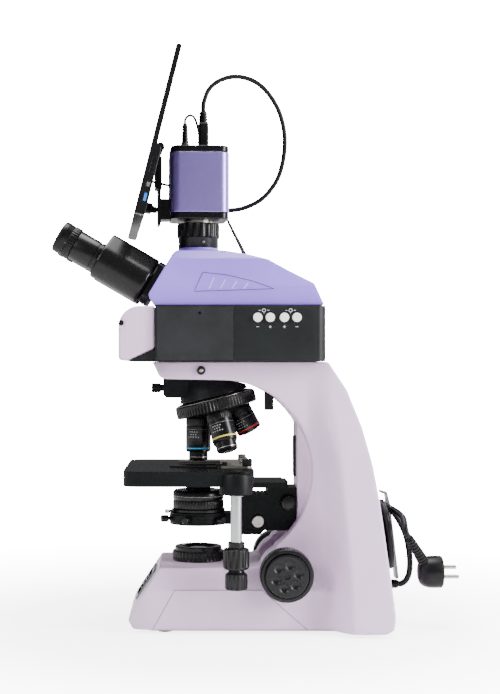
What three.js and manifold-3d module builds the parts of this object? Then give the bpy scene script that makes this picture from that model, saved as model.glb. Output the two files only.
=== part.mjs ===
// Trinocular fluorescence microscope with a camera and a small monitor on its photo port.
// Millimetres, +Z up. The eyepieces face -X, the operator's right-hand side is -Y.
// Everything is laid out from the optical axis (X 0, Y 0) and the table top (Z 0), and the
// finished group is then shifted so that the origin is the centre of its footprint.

import * as THREE from 'three';
import { mergeVertices } from 'three/addons/utils/BufferGeometryUtils.js';
import Module from 'manifold-3d';

const wasm = await Module();
wasm.setup();

// ---------- driving dimensions ----------

const GAP = 0.3; // clearance between neighbouring pieces

const BODY_BOTTOM = 4;
const BASE_TOP = 73;
const ARM_TOP = 306;
const COLUMN_FRONT = 114;
const COLUMN_HALF = 34;
const CHANNEL_HALF = 31;
const ARCH = { x: 26, z: 181, r: 104 }; // the open C of the arm
const FOCUS = { x: 98, z: 68.5 };
const COARSE_R = 30;
const FINE_R = 24;
const SHOULDER_R = 28;

const FIELD_RING_R = 30.5;
const BLOCK = { x0: -49, x1: 144.6, z0: 306.4, z1: 369.4, half: 70 };
const HEAD_Z = 369.8;
const PORT_Z = 439.3;

const TUBE_TILT = 30; // eyepiece tubes above the horizontal, degrees
const HINGE = { x: -151.6, z: 467.9 }; // middle of the binocular hinge, level with the eyepiece rims
const EYE_DROP = 18.4; // eyepiece axes below the hinge axis
const EYE_HALF = 32; // half of the distance between the eyepieces

const TURRET = { x: 20.25, z: 257.9, tilt: 14, r: 48, apex: 83.7 };
const OBJECTIVE_TOP = 96.4; // from the apex where the objective axes meet

const STAGE = { z0: 167.5, z1: 184.5, x0: -84, x1: 62, half: 108 };
const COAX = { x: 41.8, y: -98 };
const CONDENSER_R = 30;

const CAMERA_YAW = 4.07; // the camera and monitor are clamped a little askew, degrees
const CAMERA = { half: 34, z0: 471.7, z1: 556.5, cap: 7.4 };
const MONITOR = { width: 308, height: 187, lean: 14.1, x: -80, z: 464.8, thin: 6, thick: 11.5, thickTo: 76 };

const CORD_D = 7;
const HANK = { x: 217, z: 104.5, lean: 7.1, halfWidth: 38.5, halfHeight: 42.5, band: 21, depth: 14 };

// ---------- materials ----------

function paint(color, roughness, metalness = 0) {
  return new THREE.MeshStandardMaterial({ color, roughness, metalness });
}

const PEARL = () => paint(0xd9ccd9, 0.45);
const LAVENDER = () => paint(0xaaa0d8, 0.5);
const BLOCK_BLACK = () => paint(0x2f3233, 0.7);
const SATIN_BLACK = () => paint(0x18191a, 0.45);
const RUBBER = () => paint(0x111111, 0.8);
const CHROME = () => paint(0xd8dadc, 0.12, 1);
const STEEL = () => paint(0xa9a69e, 0.35, 1);
const ANODISED = () => paint(0x7d71b4, 0.35, 0.7);
const WHITE = () => paint(0xf2f4f0, 0.4);
const GLASS = () => paint(0x9fb4c4, 0.05);
const GREY = () => paint(0x8d8f92, 0.5);

// ---------- geometry helpers ----------

const radians = THREE.MathUtils.degToRad;

/** Merge equal vertices, drop degenerate triangles and turn the faces outward. */
function weld(geometry) {
  geometry.deleteAttribute('normal');
  geometry.deleteAttribute('uv');
  const merged = mergeVertices(geometry, 1e-4);
  const p = merged.attributes.position;
  const source = merged.index.array;
  const index = [];
  let volume = 0;
  const [a, b, c] = [new THREE.Vector3(), new THREE.Vector3(), new THREE.Vector3()];
  for (let i = 0; i < source.length; i += 3) {
    const [u, v, w] = [source[i], source[i + 1], source[i + 2]];
    if (u === v || v === w || w === u) continue;
    index.push(u, v, w);
    a.fromBufferAttribute(p, u);
    b.fromBufferAttribute(p, v);
    c.fromBufferAttribute(p, w);
    volume += a.dot(b.cross(c));
  }
  if (volume < 0) index.reverse();
  merged.setIndex(index);
  return merged;
}

function toSolid(geometry) {
  const welded = weld(geometry.clone());
  const vertProperties = new Float32Array(welded.attributes.position.array);
  const triVerts = new Uint32Array(welded.index.array);
  return new wasm.Manifold(new wasm.Mesh({ numProp: 3, vertProperties, triVerts }));
}

function toGeometry(solid) {
  const mesh = solid.getMesh();
  const geometry = new THREE.BufferGeometry();
  geometry.setAttribute('position', new THREE.BufferAttribute(new Float32Array(mesh.vertProperties), 3));
  geometry.setIndex(Array.from(mesh.triVerts));
  return geometry;
}

function join(...geometries) {
  return toGeometry(geometries.map(toSolid).reduce((sum, next) => sum.add(next)));
}

function cut(geometry, ...tools) {
  return toGeometry(tools.map(toSolid).reduce((rest, tool) => rest.subtract(tool), toSolid(geometry)));
}

function common(geometry, tool) {
  return toGeometry(toSolid(geometry).intersect(toSolid(tool)));
}

function outline(points) {
  return new THREE.Shape(points.map(([x, y]) => new THREE.Vector2(x, y)));
}

/** Points of an arc, from one angle to another in degrees. */
function arc(cx, cy, r, from, to, steps) {
  return Array.from({ length: steps + 1 }, (_, i) => {
    const angle = radians(from + ((to - from) * i) / steps);
    return [cx + r * Math.cos(angle), cy + r * Math.sin(angle)];
  });
}

/** A rectangle with round corners, as outline points. */
function roundedRectangle(x0, y0, x1, y1, r, steps = 4) {
  return [
    ...arc(x1 - r, y1 - r, r, 0, 90, steps),
    ...arc(x0 + r, y1 - r, r, 90, 180, steps),
    ...arc(x0 + r, y0 + r, r, 180, 270, steps),
    ...arc(x1 - r, y0 + r, r, 270, 360, steps),
  ];
}

function extrude(shape, depth) {
  return new THREE.ExtrudeGeometry(shape, { depth, bevelEnabled: false, curveSegments: 8 });
}

/** An outline in X and Z, thick along Y. */
function plateXZ(points, y0, y1) {
  const basis = new THREE.Matrix4().makeBasis(
    new THREE.Vector3(1, 0, 0),
    new THREE.Vector3(0, 0, 1),
    new THREE.Vector3(0, -1, 0),
  );
  return extrude(outline(points), y1 - y0).applyMatrix4(basis).translate(0, y1, 0);
}

/** An outline in Y and Z, thick along X. */
function plateYZ(points, x0, x1) {
  const basis = new THREE.Matrix4().makeBasis(
    new THREE.Vector3(0, 1, 0),
    new THREE.Vector3(0, 0, 1),
    new THREE.Vector3(1, 0, 0),
  );
  return extrude(outline(points), x1 - x0).applyMatrix4(basis).translate(x0, 0, 0);
}

/** An outline in X and Y, thick along Z. */
function plateXY(points, z0, z1) {
  return extrude(outline(points), z1 - z0).translate(0, 0, z0);
}

function box(x0, x1, y0, y1, z0, z1) {
  return new THREE.BoxGeometry(x1 - x0, y1 - y0, z1 - z0).translate((x0 + x1) / 2, (y0 + y1) / 2, (z0 + z1) / 2);
}

/** A turned piece about Z from [radius, z] points that start and end on the axis. */
function turned(points, segments = 24) {
  const profile = points.map(([r, z]) => new THREE.Vector2(r, z));
  return new THREE.LatheGeometry(profile, segments).rotateX(Math.PI / 2);
}

function rod(r, z0, z1, segments = 20) {
  return turned([[0, z0], [r, z0], [r, z1], [0, z1]], segments);
}

function ring(outer, inner, z0, z1, segments = 24) {
  return turned([[inner, z0], [outer, z0], [outer, z1], [inner, z1], [inner, z0]], segments);
}

/** Turn a piece made about Z so that its axis lies along Y. */
function alongY(geometry) {
  return geometry.rotateX(-Math.PI / 2);
}

function alongX(geometry) {
  return geometry.rotateY(Math.PI / 2);
}

/** A tube of a cord's diameter along hand-laid points. */
function tube(points, diameter, steps) {
  const curve = new THREE.CatmullRomCurve3(points.map((p) => new THREE.Vector3(...p)), false, 'centripetal');
  const section = new THREE.Shape();
  section.absarc(0, 0, diameter / 2, 0, Math.PI * 2);
  return new THREE.ExtrudeGeometry(section, {
    steps,
    extrudePath: curve,
    bevelEnabled: false,
    curveSegments: 4,
  });
}

const microscope = new THREE.Group();
const layout = new THREE.Group();
microscope.add(layout);

function add(name, geometry, material, parent = layout) {
  const mesh = new THREE.Mesh(weld(geometry), material);
  mesh.name = name;
  parent.add(mesh);
  return mesh;
}

// ---------- stand ----------

// Plan of the casting at one height: narrow nose, parallel cheeks, then a flare to the rear wings.
function planRing({ z, front, nose, corner, half, breakX, rear }) {
  const right = [
    [front, -nose],
    [front + corner, -half],
    [breakX, -half],
    [breakX + 9, -half - 0.14 * (rear - half)],
    [breakX + 24, -half - 0.86 * (rear - half)],
    [breakX + 34, -rear],
    [226, -rear],
  ];
  const left = right.map(([x, y]) => [x, -y]).reverse();
  return [...right, ...left].map(([x, y]) => [x, y, z]);
}

/** A solid through rings of the same number of points, flat at both ends. */
function loft(rings) {
  const n = rings[0].length;
  const positions = rings.flat(2);
  const index = [];
  for (let r = 0; r + 1 < rings.length; r += 1) {
    for (let i = 0; i < n; i += 1) {
      const j = (i + 1) % n;
      const [a, b, c, d] = [r * n + i, r * n + j, (r + 1) * n + j, (r + 1) * n + i];
      index.push(a, b, c, a, c, d);
    }
  }
  for (const [start, flip] of [[0, true], [(rings.length - 1) * n, false]]) {
    const flat = rings[start / n].map(([x, y]) => new THREE.Vector2(x, y));
    for (const [a, b, c] of THREE.ShapeUtils.triangulateShape(flat, [])) {
      index.push(start + a, start + (flip ? c : b), start + (flip ? b : c));
    }
  }
  const geometry = new THREE.BufferGeometry();
  geometry.setAttribute('position', new THREE.Float32BufferAttribute(positions, 3));
  geometry.setIndex(index);
  return geometry;
}

const PLAN = [
  { z: 0, front: -84, nose: 62, corner: 20, half: 78, breakX: 140, rear: 108 },
  { z: 49, front: -84, nose: 60, corner: 20, half: 77, breakX: 139, rear: 105 },
  { z: 74, front: -84, nose: 50, corner: 22, half: 67, breakX: 137, rear: 102 },
  { z: 112, front: -84, nose: 45, corner: 24, half: 60, breakX: 134, rear: 97 },
  { z: 200, front: -70, nose: 38, corner: 26, half: 56, breakX: 128, rear: 80 },
  { z: 262, front: -60, nose: 34, corner: 24, half: 53, breakX: 120, rear: 60 },
  { z: 310, front: -56, nose: 32, corner: 22, half: 51, breakX: 118, rear: 52 },
];

const SIDE_PROFILE = [
  [-74, BODY_BOTTOM],
  [208, BODY_BOTTOM],
  [216.5, 9],
  [218.3, 23.8],
  [211.7, 76.4],
  [202.5, 150],
  [195.9, 189.6],
  [185.4, 231.6],
  [169.6, 273.7],
  [148.6, ARM_TOP],
  [-53.6, ARM_TOP],
  [-45, 289],
  [-39, 286],
  [36, 284.6],
  ...arc(ARCH.x, ARCH.z, ARCH.r, 78, -54, 22),
  ...arc(FOCUS.x, FOCUS.z, SHOULDER_R, 110, 165, 6),
  [56, BASE_TOP],
  [-44, BASE_TOP],
  [-76, 24],
  [-80, 13],
];

function standCasting() {
  const cheeks = common(plateXZ(SIDE_PROFILE, -120, 120), loft(PLAN.map(planRing)));
  // The stage bracket runs up and down in a channel between the two cheeks.
  const channel = box(40, COLUMN_FRONT, -CHANNEL_HALF, CHANNEL_HALF, BASE_TOP + 1, 210);
  const column = box(COLUMN_FRONT, 140, -COLUMN_HALF, COLUMN_HALF, 80, 284);
  const baseHollow = plateXZ([[-62, 0], [200, 0], [198, 44], [100, 44], [-48, 44]], -66, 66);
  const armHollow = plateXZ(
    [[70, 0], [205, 0], [197, 80], [188, 150], [180, 195], [160, 250], [140, 280], [140, 112], [128, 90], [100, 62], [70, 60]],
    -28,
    28,
  );
  const shaftHole = alongY(rod(8.6, -120, 120, 24)).translate(FOCUS.x, 0, FOCUS.z);
  const lampWell = rod(19, 40, 80, 24);
  const panelPocket = box(-21, 21, -32, 32, -2.6, 4).rotateY(radians(-57)).translate(-61.2, 0, 47.6);
  const railSlot = box(COLUMN_FRONT - 1, COLUMN_FRONT + 4, -11, 11, 196, 226);
  const glandHole = alongX(rod(6.4, 190, 230, 20)).translate(0, 0, 44.5);
  return cut(join(cut(cheeks, channel), column), baseHollow, armHollow, shaftHole, lampWell, panelPocket, railSlot, glandHole);
}

const casting = standCasting();
add('stand_casting', casting.clone(), PEARL());

const baseOutline = [
  [-66, -52], [-52, -68], [144, -70], [166, -72], [206, -92],
  [206, 92], [166, 72], [144, 70], [-52, 68], [-66, 52],
];
add('base_plate', plateXY(baseOutline, 1.9, BODY_BOTTOM - GAP), STEEL());

const FEET = {
  foot_front_right: [-38, -58],
  foot_front_left: [-38, 58],
  foot_rear_right: [188, -76],
  foot_rear_left: [188, 76],
};
for (const [name, [x, y]] of Object.entries(FEET)) {
  add(name, rod(8, 0, 1.6, 20).translate(x, y, 0), RUBBER());
}

const statusGroup = new THREE.Group();
statusGroup.position.set(-61.2, 0, 47.6);
statusGroup.rotation.y = radians(-57);
layout.add(statusGroup);
add('status_panel', box(-20.5, 20.5, -31.5, 31.5, -2.2, 1.6), GREY(), statusGroup);

add('field_iris_ring', turned([
  [20, BASE_TOP + GAP], [FIELD_RING_R, BASE_TOP + GAP], [FIELD_RING_R, 84], [27.5, 85], [27.5, 90], [20, 90],
  [20, BASE_TOP + GAP],
], 24), SATIN_BLACK());
add('field_lens', turned([[0, 60], [18.5, 60], [18.5, 84], [14, 87.6], [0, 88.6]]), GLASS());

// ---------- focusing knobs ----------

const focusGroup = new THREE.Group();
focusGroup.position.set(FOCUS.x, 0, FOCUS.z);
layout.add(focusGroup);
const BORE = 3.4;
const COARSE_INNER = 79.6; // clear of the cheeks, which lean out to the base
const COARSE_OUTER = 103;
const FINE_OUTER = 108;

const coarseRight = join(
  alongY(ring(COARSE_R, FINE_R + 1.2, -COARSE_OUTER, -COARSE_INNER, 24)),
  alongY(ring(COARSE_R - 1, BORE, -97, -COARSE_INNER, 24)),
  alongY(ring(8, BORE, -90, COARSE_INNER - GAP, 24)),
);
add('coarse_knob_right', coarseRight, SATIN_BLACK(), focusGroup);
const coarseLeft = join(
  alongY(ring(COARSE_R, FINE_R + 1.2, COARSE_INNER, COARSE_OUTER, 24)),
  alongY(ring(COARSE_R - 1, BORE, COARSE_INNER, 97, 24)),
);
add('coarse_knob_left', coarseLeft, SATIN_BLACK(), focusGroup);

/** Fine knob: a disc with finger dimples, made with its outer face at +Y. */
function fineDisc() {
  const disc = alongY(rod(FINE_R, 97.4, FINE_OUTER, 24));
  const dimples = Array.from({ length: 6 }, (_, i) => {
    const angle = radians(60 * i + 15);
    const tool = new THREE.SphereGeometry(7, 12, 8);
    return tool.translate(11.3 * Math.cos(angle), FINE_OUTER + 5, 11.3 * Math.sin(angle));
  });
  const socket = alongY(rod(3.5, 105, 110, 16));
  return cut(disc, ...dimples, socket);
}

const spindle = alongY(rod(BORE - GAP, -100, 97.1, 16));
add('fine_knob_right', join(fineDisc().rotateZ(Math.PI), spindle), SATIN_BLACK(), focusGroup);
add('fine_knob_left', fineDisc(), SATIN_BLACK(), focusGroup);

// ---------- rear: gland, cord hanger ----------

const gland = alongX(turned([[0, 205], [6, 205], [6, 221], [5, 235], [0, 235]], 20)).translate(0, 0, 44.5);
add('cord_gland', gland, RUBBER());

const HANGER_HALF = 9;
const hanger = join(
  plateXZ([[221.5, 139], [225, 139.4], [235, 52], [231.5, 51.6]], -HANGER_HALF, HANGER_HALF),
  plateXZ([[209.5, 98], [228.5, 100.5], [229, 96], [210, 93.5]], -HANGER_HALF, HANGER_HALF),
  plateXZ([[221.5, 137], [225, 139.4], [221.5, 153], [214, 155], [213.5, 152.5], [219.6, 150.5]],
    -HANGER_HALF, HANGER_HALF),
);
add('cord_hanger', hanger, GREY());

// ---------- nosepiece and objectives ----------

const turretGroup = new THREE.Group();
turretGroup.position.set(TURRET.x, 0, TURRET.z);
turretGroup.rotation.y = radians(-TURRET.tilt);
layout.add(turretGroup);

/** Put a piece made about Z, with the apex at 0 and pointing down, on one turret position. */
function onTurret(geometry, quarter) {
  return geometry
    .rotateY(radians(TURRET.tilt))
    .rotateZ((quarter * Math.PI) / 2)
    .translate(0, 0, TURRET.apex);
}

const bosses = [0, 1, 2, 3].map((quarter) => onTurret(rod(13.5, -OBJECTIVE_TOP + GAP, -86, 24), quarter));
const turretBody = turned([
  [0, -6], [41.5, -6], [42, -9], [TURRET.r - 1.5, -9], [TURRET.r, -7.5], [TURRET.r, 4.5],
  [TURRET.r - 1.5, 6], [41, 8], [0, 8],
], 24);
add('nosepiece_turret', join(turretBody, ...bosses), SATIN_BLACK(), turretGroup);

function objectiveProfile(barrelEnd, noseRadius, noseEnd) {
  return [
    [0, -OBJECTIVE_TOP],
    [13, -OBJECTIVE_TOP],
    [14.75, -OBJECTIVE_TOP - 4],
    [14.75, -barrelEnd + 2],
    [14, -barrelEnd],
    [noseRadius, -barrelEnd - 0.1],
    [noseRadius, -noseEnd + 3],
    [noseRadius - 4, -noseEnd],
    [0, -noseEnd],
  ];
}

const OBJECTIVES = {
  objective_40x: [138.8, 11.3, 149.3],
  objective_10x: [133, 12.4, 145.5],
  objective_4x: [129.5, 12, 131],
  objective_100x: [138.8, 10.6, 149.3],
};
Object.entries(OBJECTIVES).forEach(([name, [barrelEnd, noseRadius, noseEnd]], quarter) => {
  const shape = turned(objectiveProfile(barrelEnd, noseRadius, noseEnd), 24);
  add(name, onTurret(shape, quarter), SATIN_BLACK(), turretGroup);
});

/** Cut a piece back from the casting, with a gap under it. */
function clearOfCasting(geometry) {
  return cut(geometry, casting.clone(), casting.clone().translate(0, 0, -GAP));
}

const mountCone = turned([[0, 8.4], [40.5, 8.4], [39, 15], [33, 30], [0, 30]], 40)
  .rotateY(radians(-TURRET.tilt))
  .translate(TURRET.x, 0, TURRET.z);
const mountBlock = plateXZ([[-41, 284.4], [-41, 268], [-37, 264], [-8, 264], [10, 284.4]], -22, 22);
const turretRoom = turned([[0, -12], [49.5, -12], [49.5, 8.3], [0, 8.3]], 40)
  .rotateY(radians(-TURRET.tilt))
  .translate(TURRET.x, 0, TURRET.z);
const mountPlate = box(-41, 34, -22, 22, 279, 290);
const lockKnob = join(
  alongX(rod(5.5, -55, -44.5)),
  alongX(rod(4, -45, -38)),
).translate(0, 0, 275.5);
const mount = cut(clearOfCasting(join(mountCone, mountBlock, mountPlate)), turretRoom);
add('nosepiece_mount', join(mount, lockKnob), SATIN_BLACK());

// ---------- stage, slide holder and coaxial drive ----------

const plateOutline = roundedRectangle(STAGE.x0, -STAGE.half, STAGE.x1, STAGE.half, 18, 5);
// The light hole is long, because the plate travels to and fro above the condenser.
const lightSlot = [...arc(30, 0, 15, -90, 90, 8), ...arc(-8, 0, 15, 90, 270, 8)];
// A round boss on the near edge carries the coaxial drive.
add('stage_plate', cut(
  join(plateXY(plateOutline, STAGE.z0, STAGE.z1), rod(19, 158.5, 182, 28).translate(COAX.x, COAX.y, 0)),
  plateXY(lightSlot, STAGE.z0 - 1, STAGE.z1 + 1),
), BLOCK_BLACK());

const HOLDER_Z = STAGE.z1 + GAP;
const HOLDER_TOP = HOLDER_Z + 2.4;
const holderPivot = [30, -50];
add('slide_holder', cut(join(
  plateXY([[26, -60], [56, -60], [60, -56], [60, 56], [56, 60], [26, 60]], HOLDER_Z, HOLDER_TOP),
  plateXY([[-24, 39], [28, 39], [28, 60], [-10, 60], [-24, 46]], HOLDER_Z, HOLDER_TOP),
), rod(3.3, HOLDER_Z - 1, HOLDER_TOP + 1, 20).translate(...holderPivot, 0)), STEEL());

const fingerOutline = [
  [30, -47.2], [10, -47.8], [-10, -46], [-24, -41.5], [-32, -40.5],
  [-33, -43], [-22, -46.5], [-8, -52], [10, -55], [21.5, -54.4], [21.5, -47.6],
];
const fingerLow = HOLDER_Z;
add('spring_finger', join(
  plateXY(fingerOutline.slice(1), fingerLow, HOLDER_TOP - 0.4),
  rod(3, fingerLow, HOLDER_TOP + 4, 20).translate(...holderPivot, 0),
  box(20, 30, -54.4, -47.6, HOLDER_TOP + GAP, HOLDER_TOP + 2),
  box(20, 21.5, -54.4, -47.6, fingerLow, HOLDER_TOP + 2),
), STEEL());

add('coaxial_shaft', join(
  rod(6.5, 99.3, 158.5 - GAP, 24),
  rod(3, 60, 100, 16),
).translate(COAX.x, COAX.y, 0), CHROME());
add('upper_stage_knob', cut(
  turned([[0, 75.6], [12, 75.6], [14.5, 78], [14.5, 99], [0, 99]], 24),
  rod(3.4, 70, 101, 16),
).translate(COAX.x, COAX.y, 0), SATIN_BLACK());
add('lower_stage_knob', cut(
  turned([[0, 53], [11.5, 53], [12.5, 55], [12.5, 70], [8.5, 73], [8.5, 75.2], [0, 75.2]], 24),
  rod(3.4, 59.7, 76, 16),
).translate(COAX.x, COAX.y, 0), SATIN_BLACK());

// ---------- stage bracket and condenser ----------

const BRACKET_FRONT = 50.4;
const blockProfile = [
  [BRACKET_FRONT, 105.7], [72, 105.7], [76, 110.6], [COLUMN_FRONT - 0.4, 110.6],
  [COLUMN_FRONT - 0.4, 160], [104, 160], [104, STAGE.z0 - GAP], [36, STAGE.z0 - GAP],
  [36, 161], [80, 161], [80, 152], [BRACKET_FRONT, 152],
];
const BLOCK_HALF = 27;
const knobAxis = { x: 103.5, z: 143 };
const bracket = join(
  plateXZ(blockProfile, -BLOCK_HALF, BLOCK_HALF),
  box(36, 100, -42, 42, 161, STAGE.z0 - GAP),
);
const knobBore = alongY(rod(3.4, -60, -10, 16)).translate(knobAxis.x, 0, knobAxis.z);
add('stage_bracket', cut(bracket, knobBore), SATIN_BLACK());

add('condenser_knob', join(
  alongY(rod(8.5, -38, -BLOCK_HALF - GAP, 24)),
  alongY(rod(3, -28, -11, 16)),
).translate(knobAxis.x, 0, knobAxis.z), SATIN_BLACK());

const CARRIER = { z0: 116, z1: 129.7 };
add('condenser_carrier', cut(join(
  rod(33.5, CARRIER.z0, CARRIER.z1, 24),
  box(22, BRACKET_FRONT - GAP, -13, 13, CARRIER.z0, CARRIER.z1),
  box(40, BRACKET_FRONT - GAP, -13, 13, CARRIER.z0, 144),
), rod(24, 100, 135, 24)), SATIN_BLACK());

add('condenser', turned([
  [0, 117], [23.7, 117], [23.7, 130], [19.6, 130], [19.6, 134.3],
  [CONDENSER_R, 134.3], [CONDENSER_R, 154], [28, 156], [16, 156], [13, 161.5], [0, 162.5],
], 24), SATIN_BLACK());
add('condenser_iris_ring', join(
  ring(31.5, 20, 130.3, 134, 24),
  box(-44, -30, -2.2, 2.2, 130.6, 133.6).rotateZ(radians(28)),
), SATIN_BLACK());

// ---------- fluorescence illuminator ----------

const { x0: blockFront, x1: blockRear, z0: blockFloor, z1: blockRoof, half: blockHalf } = BLOCK;
const BUTTONS = {
  reflected_light_minus_button: 66.9,
  reflected_light_plus_button: 81,
  transmitted_light_plus_button: 97,
  transmitted_light_minus_button: 111.2,
};
const BUTTON_Z = 356;
const BUTTON_R = 5.25;
const WALL = 4;

function illuminatorHousing() {
  const corner = 12;
  const plan = [
    [blockFront, -blockHalf],
    ...arc(blockRear - corner, -blockHalf + corner, corner, -90, 0, 5),
    ...arc(blockRear - corner, blockHalf - corner, corner, 0, 90, 5),
    [blockFront, blockHalf],
  ];
  const shell = plateXY(plan, blockFloor, blockRoof);
  const chin = plateXZ([[blockFront + 1, blockFloor], [blockFront + 1, 320.7], [-79.7, blockFloor]], -66, 66);
  const hollow = box(blockFront + WALL, blockRear - WALL, -blockHalf + WALL, blockHalf - WALL, 300, blockRoof - WALL);
  const holes = Object.values(BUTTONS).map((x) =>
    alongY(rod(BUTTON_R + GAP, -80, -60, 20)).translate(x, 0, BUTTON_Z));
  return cut(join(shell, chin), hollow, ...holes);
}
add('illuminator_housing', illuminatorHousing(), BLOCK_BLACK());

const capOutline = [
  [blockFront - GAP, 321.1], [blockFront - GAP, blockRoof], ...arc(-67, 345.4, 24, 90, 180, 7),
  ...arc(-86, 312.2, 5, 180, 260, 3), [-80.3, 307.1],
];
add('illuminator_front_cap', cut(
  plateXZ(capOutline, -66, 66),
  box(-78, -40, -60, 60, 324, 360),
), PEARL());

for (const [name, x] of Object.entries(BUTTONS)) {
  add(name, join(
    alongY(rod(BUTTON_R, -72.2, -64, 24)),
    alongY(rod(BUTTON_R + 1.6, -65.7, -64, 24)),
  ).translate(x, 0, BUTTON_Z), WHITE());
}

// ---------- trinocular head ----------

function headHousing() {
  const side = [
    [-50, HEAD_Z], [141, HEAD_Z], [143, 371.5], [132, 395.5], [102, 411], [80, 423.5], [56, 430],
    [28, 434.5], [-25, 434.5], [-29, 431.5], [-57, 383], [-56, 378],
  ];
  const front = [[-61, HEAD_Z], [61, HEAD_Z], [60, 392], [50, 424], [40, 436], [-40, 436], [-50, 424], [-60, 392]];
  const body = common(plateXZ(side, -70, 70), plateYZ(front, -70, 150));
  const neck = turned([[0, 425], [27, 425], [27, 434], [23.6, 437.5], [23.6, PORT_Z], [0, PORT_Z]], 24);
  const hollow = plateXZ([[-46, 360], [134, 360], [125, 384], [98, 406], [50, 424], [-22, 426], [-46, 384]], -46, 46);
  const lightPath = rod(14, 420, 445, 24);
  return cut(join(body, neck), hollow, lightPath);
}
// The hinge pin and its face plate stand square on the sloping front of the head.
const eyeGroup = new THREE.Group();
eyeGroup.position.set(HINGE.x, 0, HINGE.z);
eyeGroup.rotation.y = radians(TUBE_TILT - 90);
layout.add(eyeGroup);
eyeGroup.updateMatrix();
const PIN_R = 5;
const KNUCKLE_R = 11;
const facePlate = join(
  plateXY(roundedRectangle(-38, -46, 14, 46, 10), -126, -116.5),
  rod(PIN_R, -125, -56, 20),
).applyMatrix4(eyeGroup.matrix);
add('head_housing', join(headHousing(), facePlate), LAVENDER());

/** Outline around two circles, the shape of a prism box seen along the tubes. */
function boxAroundCircles(c1, r1, c2, r2) {
  const a = new THREE.Vector2(...c1);
  const b = new THREE.Vector2(...c2);
  const d = b.clone().sub(a);
  const heading = d.angle();
  const spread = Math.acos((r1 - r2) / d.length());
  const degrees = THREE.MathUtils.radToDeg;
  const from = degrees(heading + spread);
  const to = degrees(heading - spread);
  return [...arc(...c1, r1, from, to + 360, 14), ...arc(...c2, r2, to, from, 8)];
}

/** One prism arm for the side (-1 near, +1 far), in the frame of the tubes. */
function prismArm(side, knuckleFrom, knuckleTo) {
  const eye = [-EYE_DROP, EYE_HALF * side];
  const shoulder = [3, 24 * side];
  const bodyOutline = boxAroundCircles(eye, 23.4, shoulder, 12);
  const linkOutline = boxAroundCircles(shoulder, 12, [0, 0], KNUCKLE_R);
  const body = join(
    plateXY(bodyOutline, -115, -53),
    plateXY(linkOutline, knuckleFrom, knuckleTo),
    rod(17.8, -54, -21.3, 32).translate(...eye, 0),
  );
  const otherKnuckle = rod(KNUCKLE_R + 0.5, side < 0 ? -116 : -84.3, side < 0 ? -83.7 : -52, 24);
  return cut(
    body,
    otherKnuckle,
    rod(PIN_R + GAP, -120, -50, 20),
    rod(12, -70, -20, 28).translate(...eye, 0),
    box(-60, 60, side < 0 ? 0.4 : -60, side < 0 ? 60 : -0.4, -115.5, knuckleFrom - 0.01),
    box(-60, 60, side < 0 ? 0.4 : -60, side < 0 ? 60 : -0.4, knuckleTo + 0.01, -52),
  );
}
add('prism_arm_right', prismArm(-1, -83.7, -58), SATIN_BLACK(), eyeGroup);
add('prism_arm_left', prismArm(1, -110, -84.3), SATIN_BLACK(), eyeGroup);

const eyepieceShape = turned([
  [0, -66], [11.6, -66], [11.6, -21], [19.15, -21], [19.15, -2], [17.5, 0], [14, 0], [11, -5], [0, -6],
], 24);
add('eyepiece_right', eyepieceShape.clone().translate(-EYE_DROP, -EYE_HALF, 0), RUBBER(), eyeGroup);
add('eyepiece_left', eyepieceShape.clone().translate(-EYE_DROP, EYE_HALF, 0), RUBBER(), eyeGroup);

// ---------- camera on the photo port ----------

add('photo_port', turned([
  [0, PORT_Z + GAP], [23.5, PORT_Z + GAP], [23.5, 451.3], [25, 452], [25, 467.6], [24, 468.2], [0, 468.2],
], 24), SATIN_BLACK());

const cameraGroup = new THREE.Group();
cameraGroup.rotation.z = radians(CAMERA_YAW);
layout.add(cameraGroup);
const half = CAMERA.half;
const shellOutline = roundedRectangle(-half, -half, half, half, 11, 5);
const capOutlineXY = roundedRectangle(-half + 1, -half + 1, half - 1, half - 1, 10, 5);
add('camera_bottom_cap', join(
  plateXY(capOutlineXY, CAMERA.z0, CAMERA.z0 + CAMERA.cap),
  rod(17, 468.5, CAMERA.z0 + 1, 24),
), SATIN_BLACK(), cameraGroup);
add('camera_shell', cut(
  plateXY(shellOutline, CAMERA.z0 + CAMERA.cap + GAP, CAMERA.z1 - CAMERA.cap - GAP),
  box(-half + 4, half - 4, -half + 4, half - 4, 470, 560),
), ANODISED(), cameraGroup);
add('camera_top_cap', plateXY(capOutlineXY, CAMERA.z1 - CAMERA.cap, CAMERA.z1), SATIN_BLACK(), cameraGroup);

const LEAD_PLUG = [-16, -4];
const VIDEO_PLUG = [6.4, 8];
add('camera_lead_plug', turned([
  [0, CAMERA.z1 + GAP], [4.6, CAMERA.z1 + GAP], [4.4, 574], [3, 586], [0, 586],
], 16).translate(...LEAD_PLUG, 0), RUBBER(), cameraGroup);
add('camera_video_plug', join(
  plateXY(roundedRectangle(-5.7, -10, 5.7, 10, 2.5, 3), 560, 588),
  plateXY(roundedRectangle(-4, -7.5, 4, 7.5, 1, 1), CAMERA.z1 + GAP, 561),
  turned([[0, 587], [5.6, 587], [4.6, 603], [0, 603]], 20),
).translate(...VIDEO_PLUG, 0), RUBBER(), cameraGroup);

// Bracket: a foot clamped under the camera and an upright that carries the tilt hinge.
const PIVOT = { x: -46, z: 556 };
add('monitor_bracket', cut(join(
  box(-48, -45, -16, 16, 466, 552),
  box(-48, -half - GAP, -16, 16, 472, 496),
  box(-50.5, -43.5, -16, 16, 551, 553.7),
  alongY(rod(4.5, -16, -7, 20)).translate(PIVOT.x, 0, PIVOT.z),
  alongY(rod(4.5, 7, 16, 20)).translate(PIVOT.x, 0, PIVOT.z),
  alongY(rod(2, -16, 16, 16)).translate(PIVOT.x, 0, PIVOT.z),
), box(-60, -30, -6.7, 6.7, 550.5, 553.8)), SATIN_BLACK(), cameraGroup);

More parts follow.
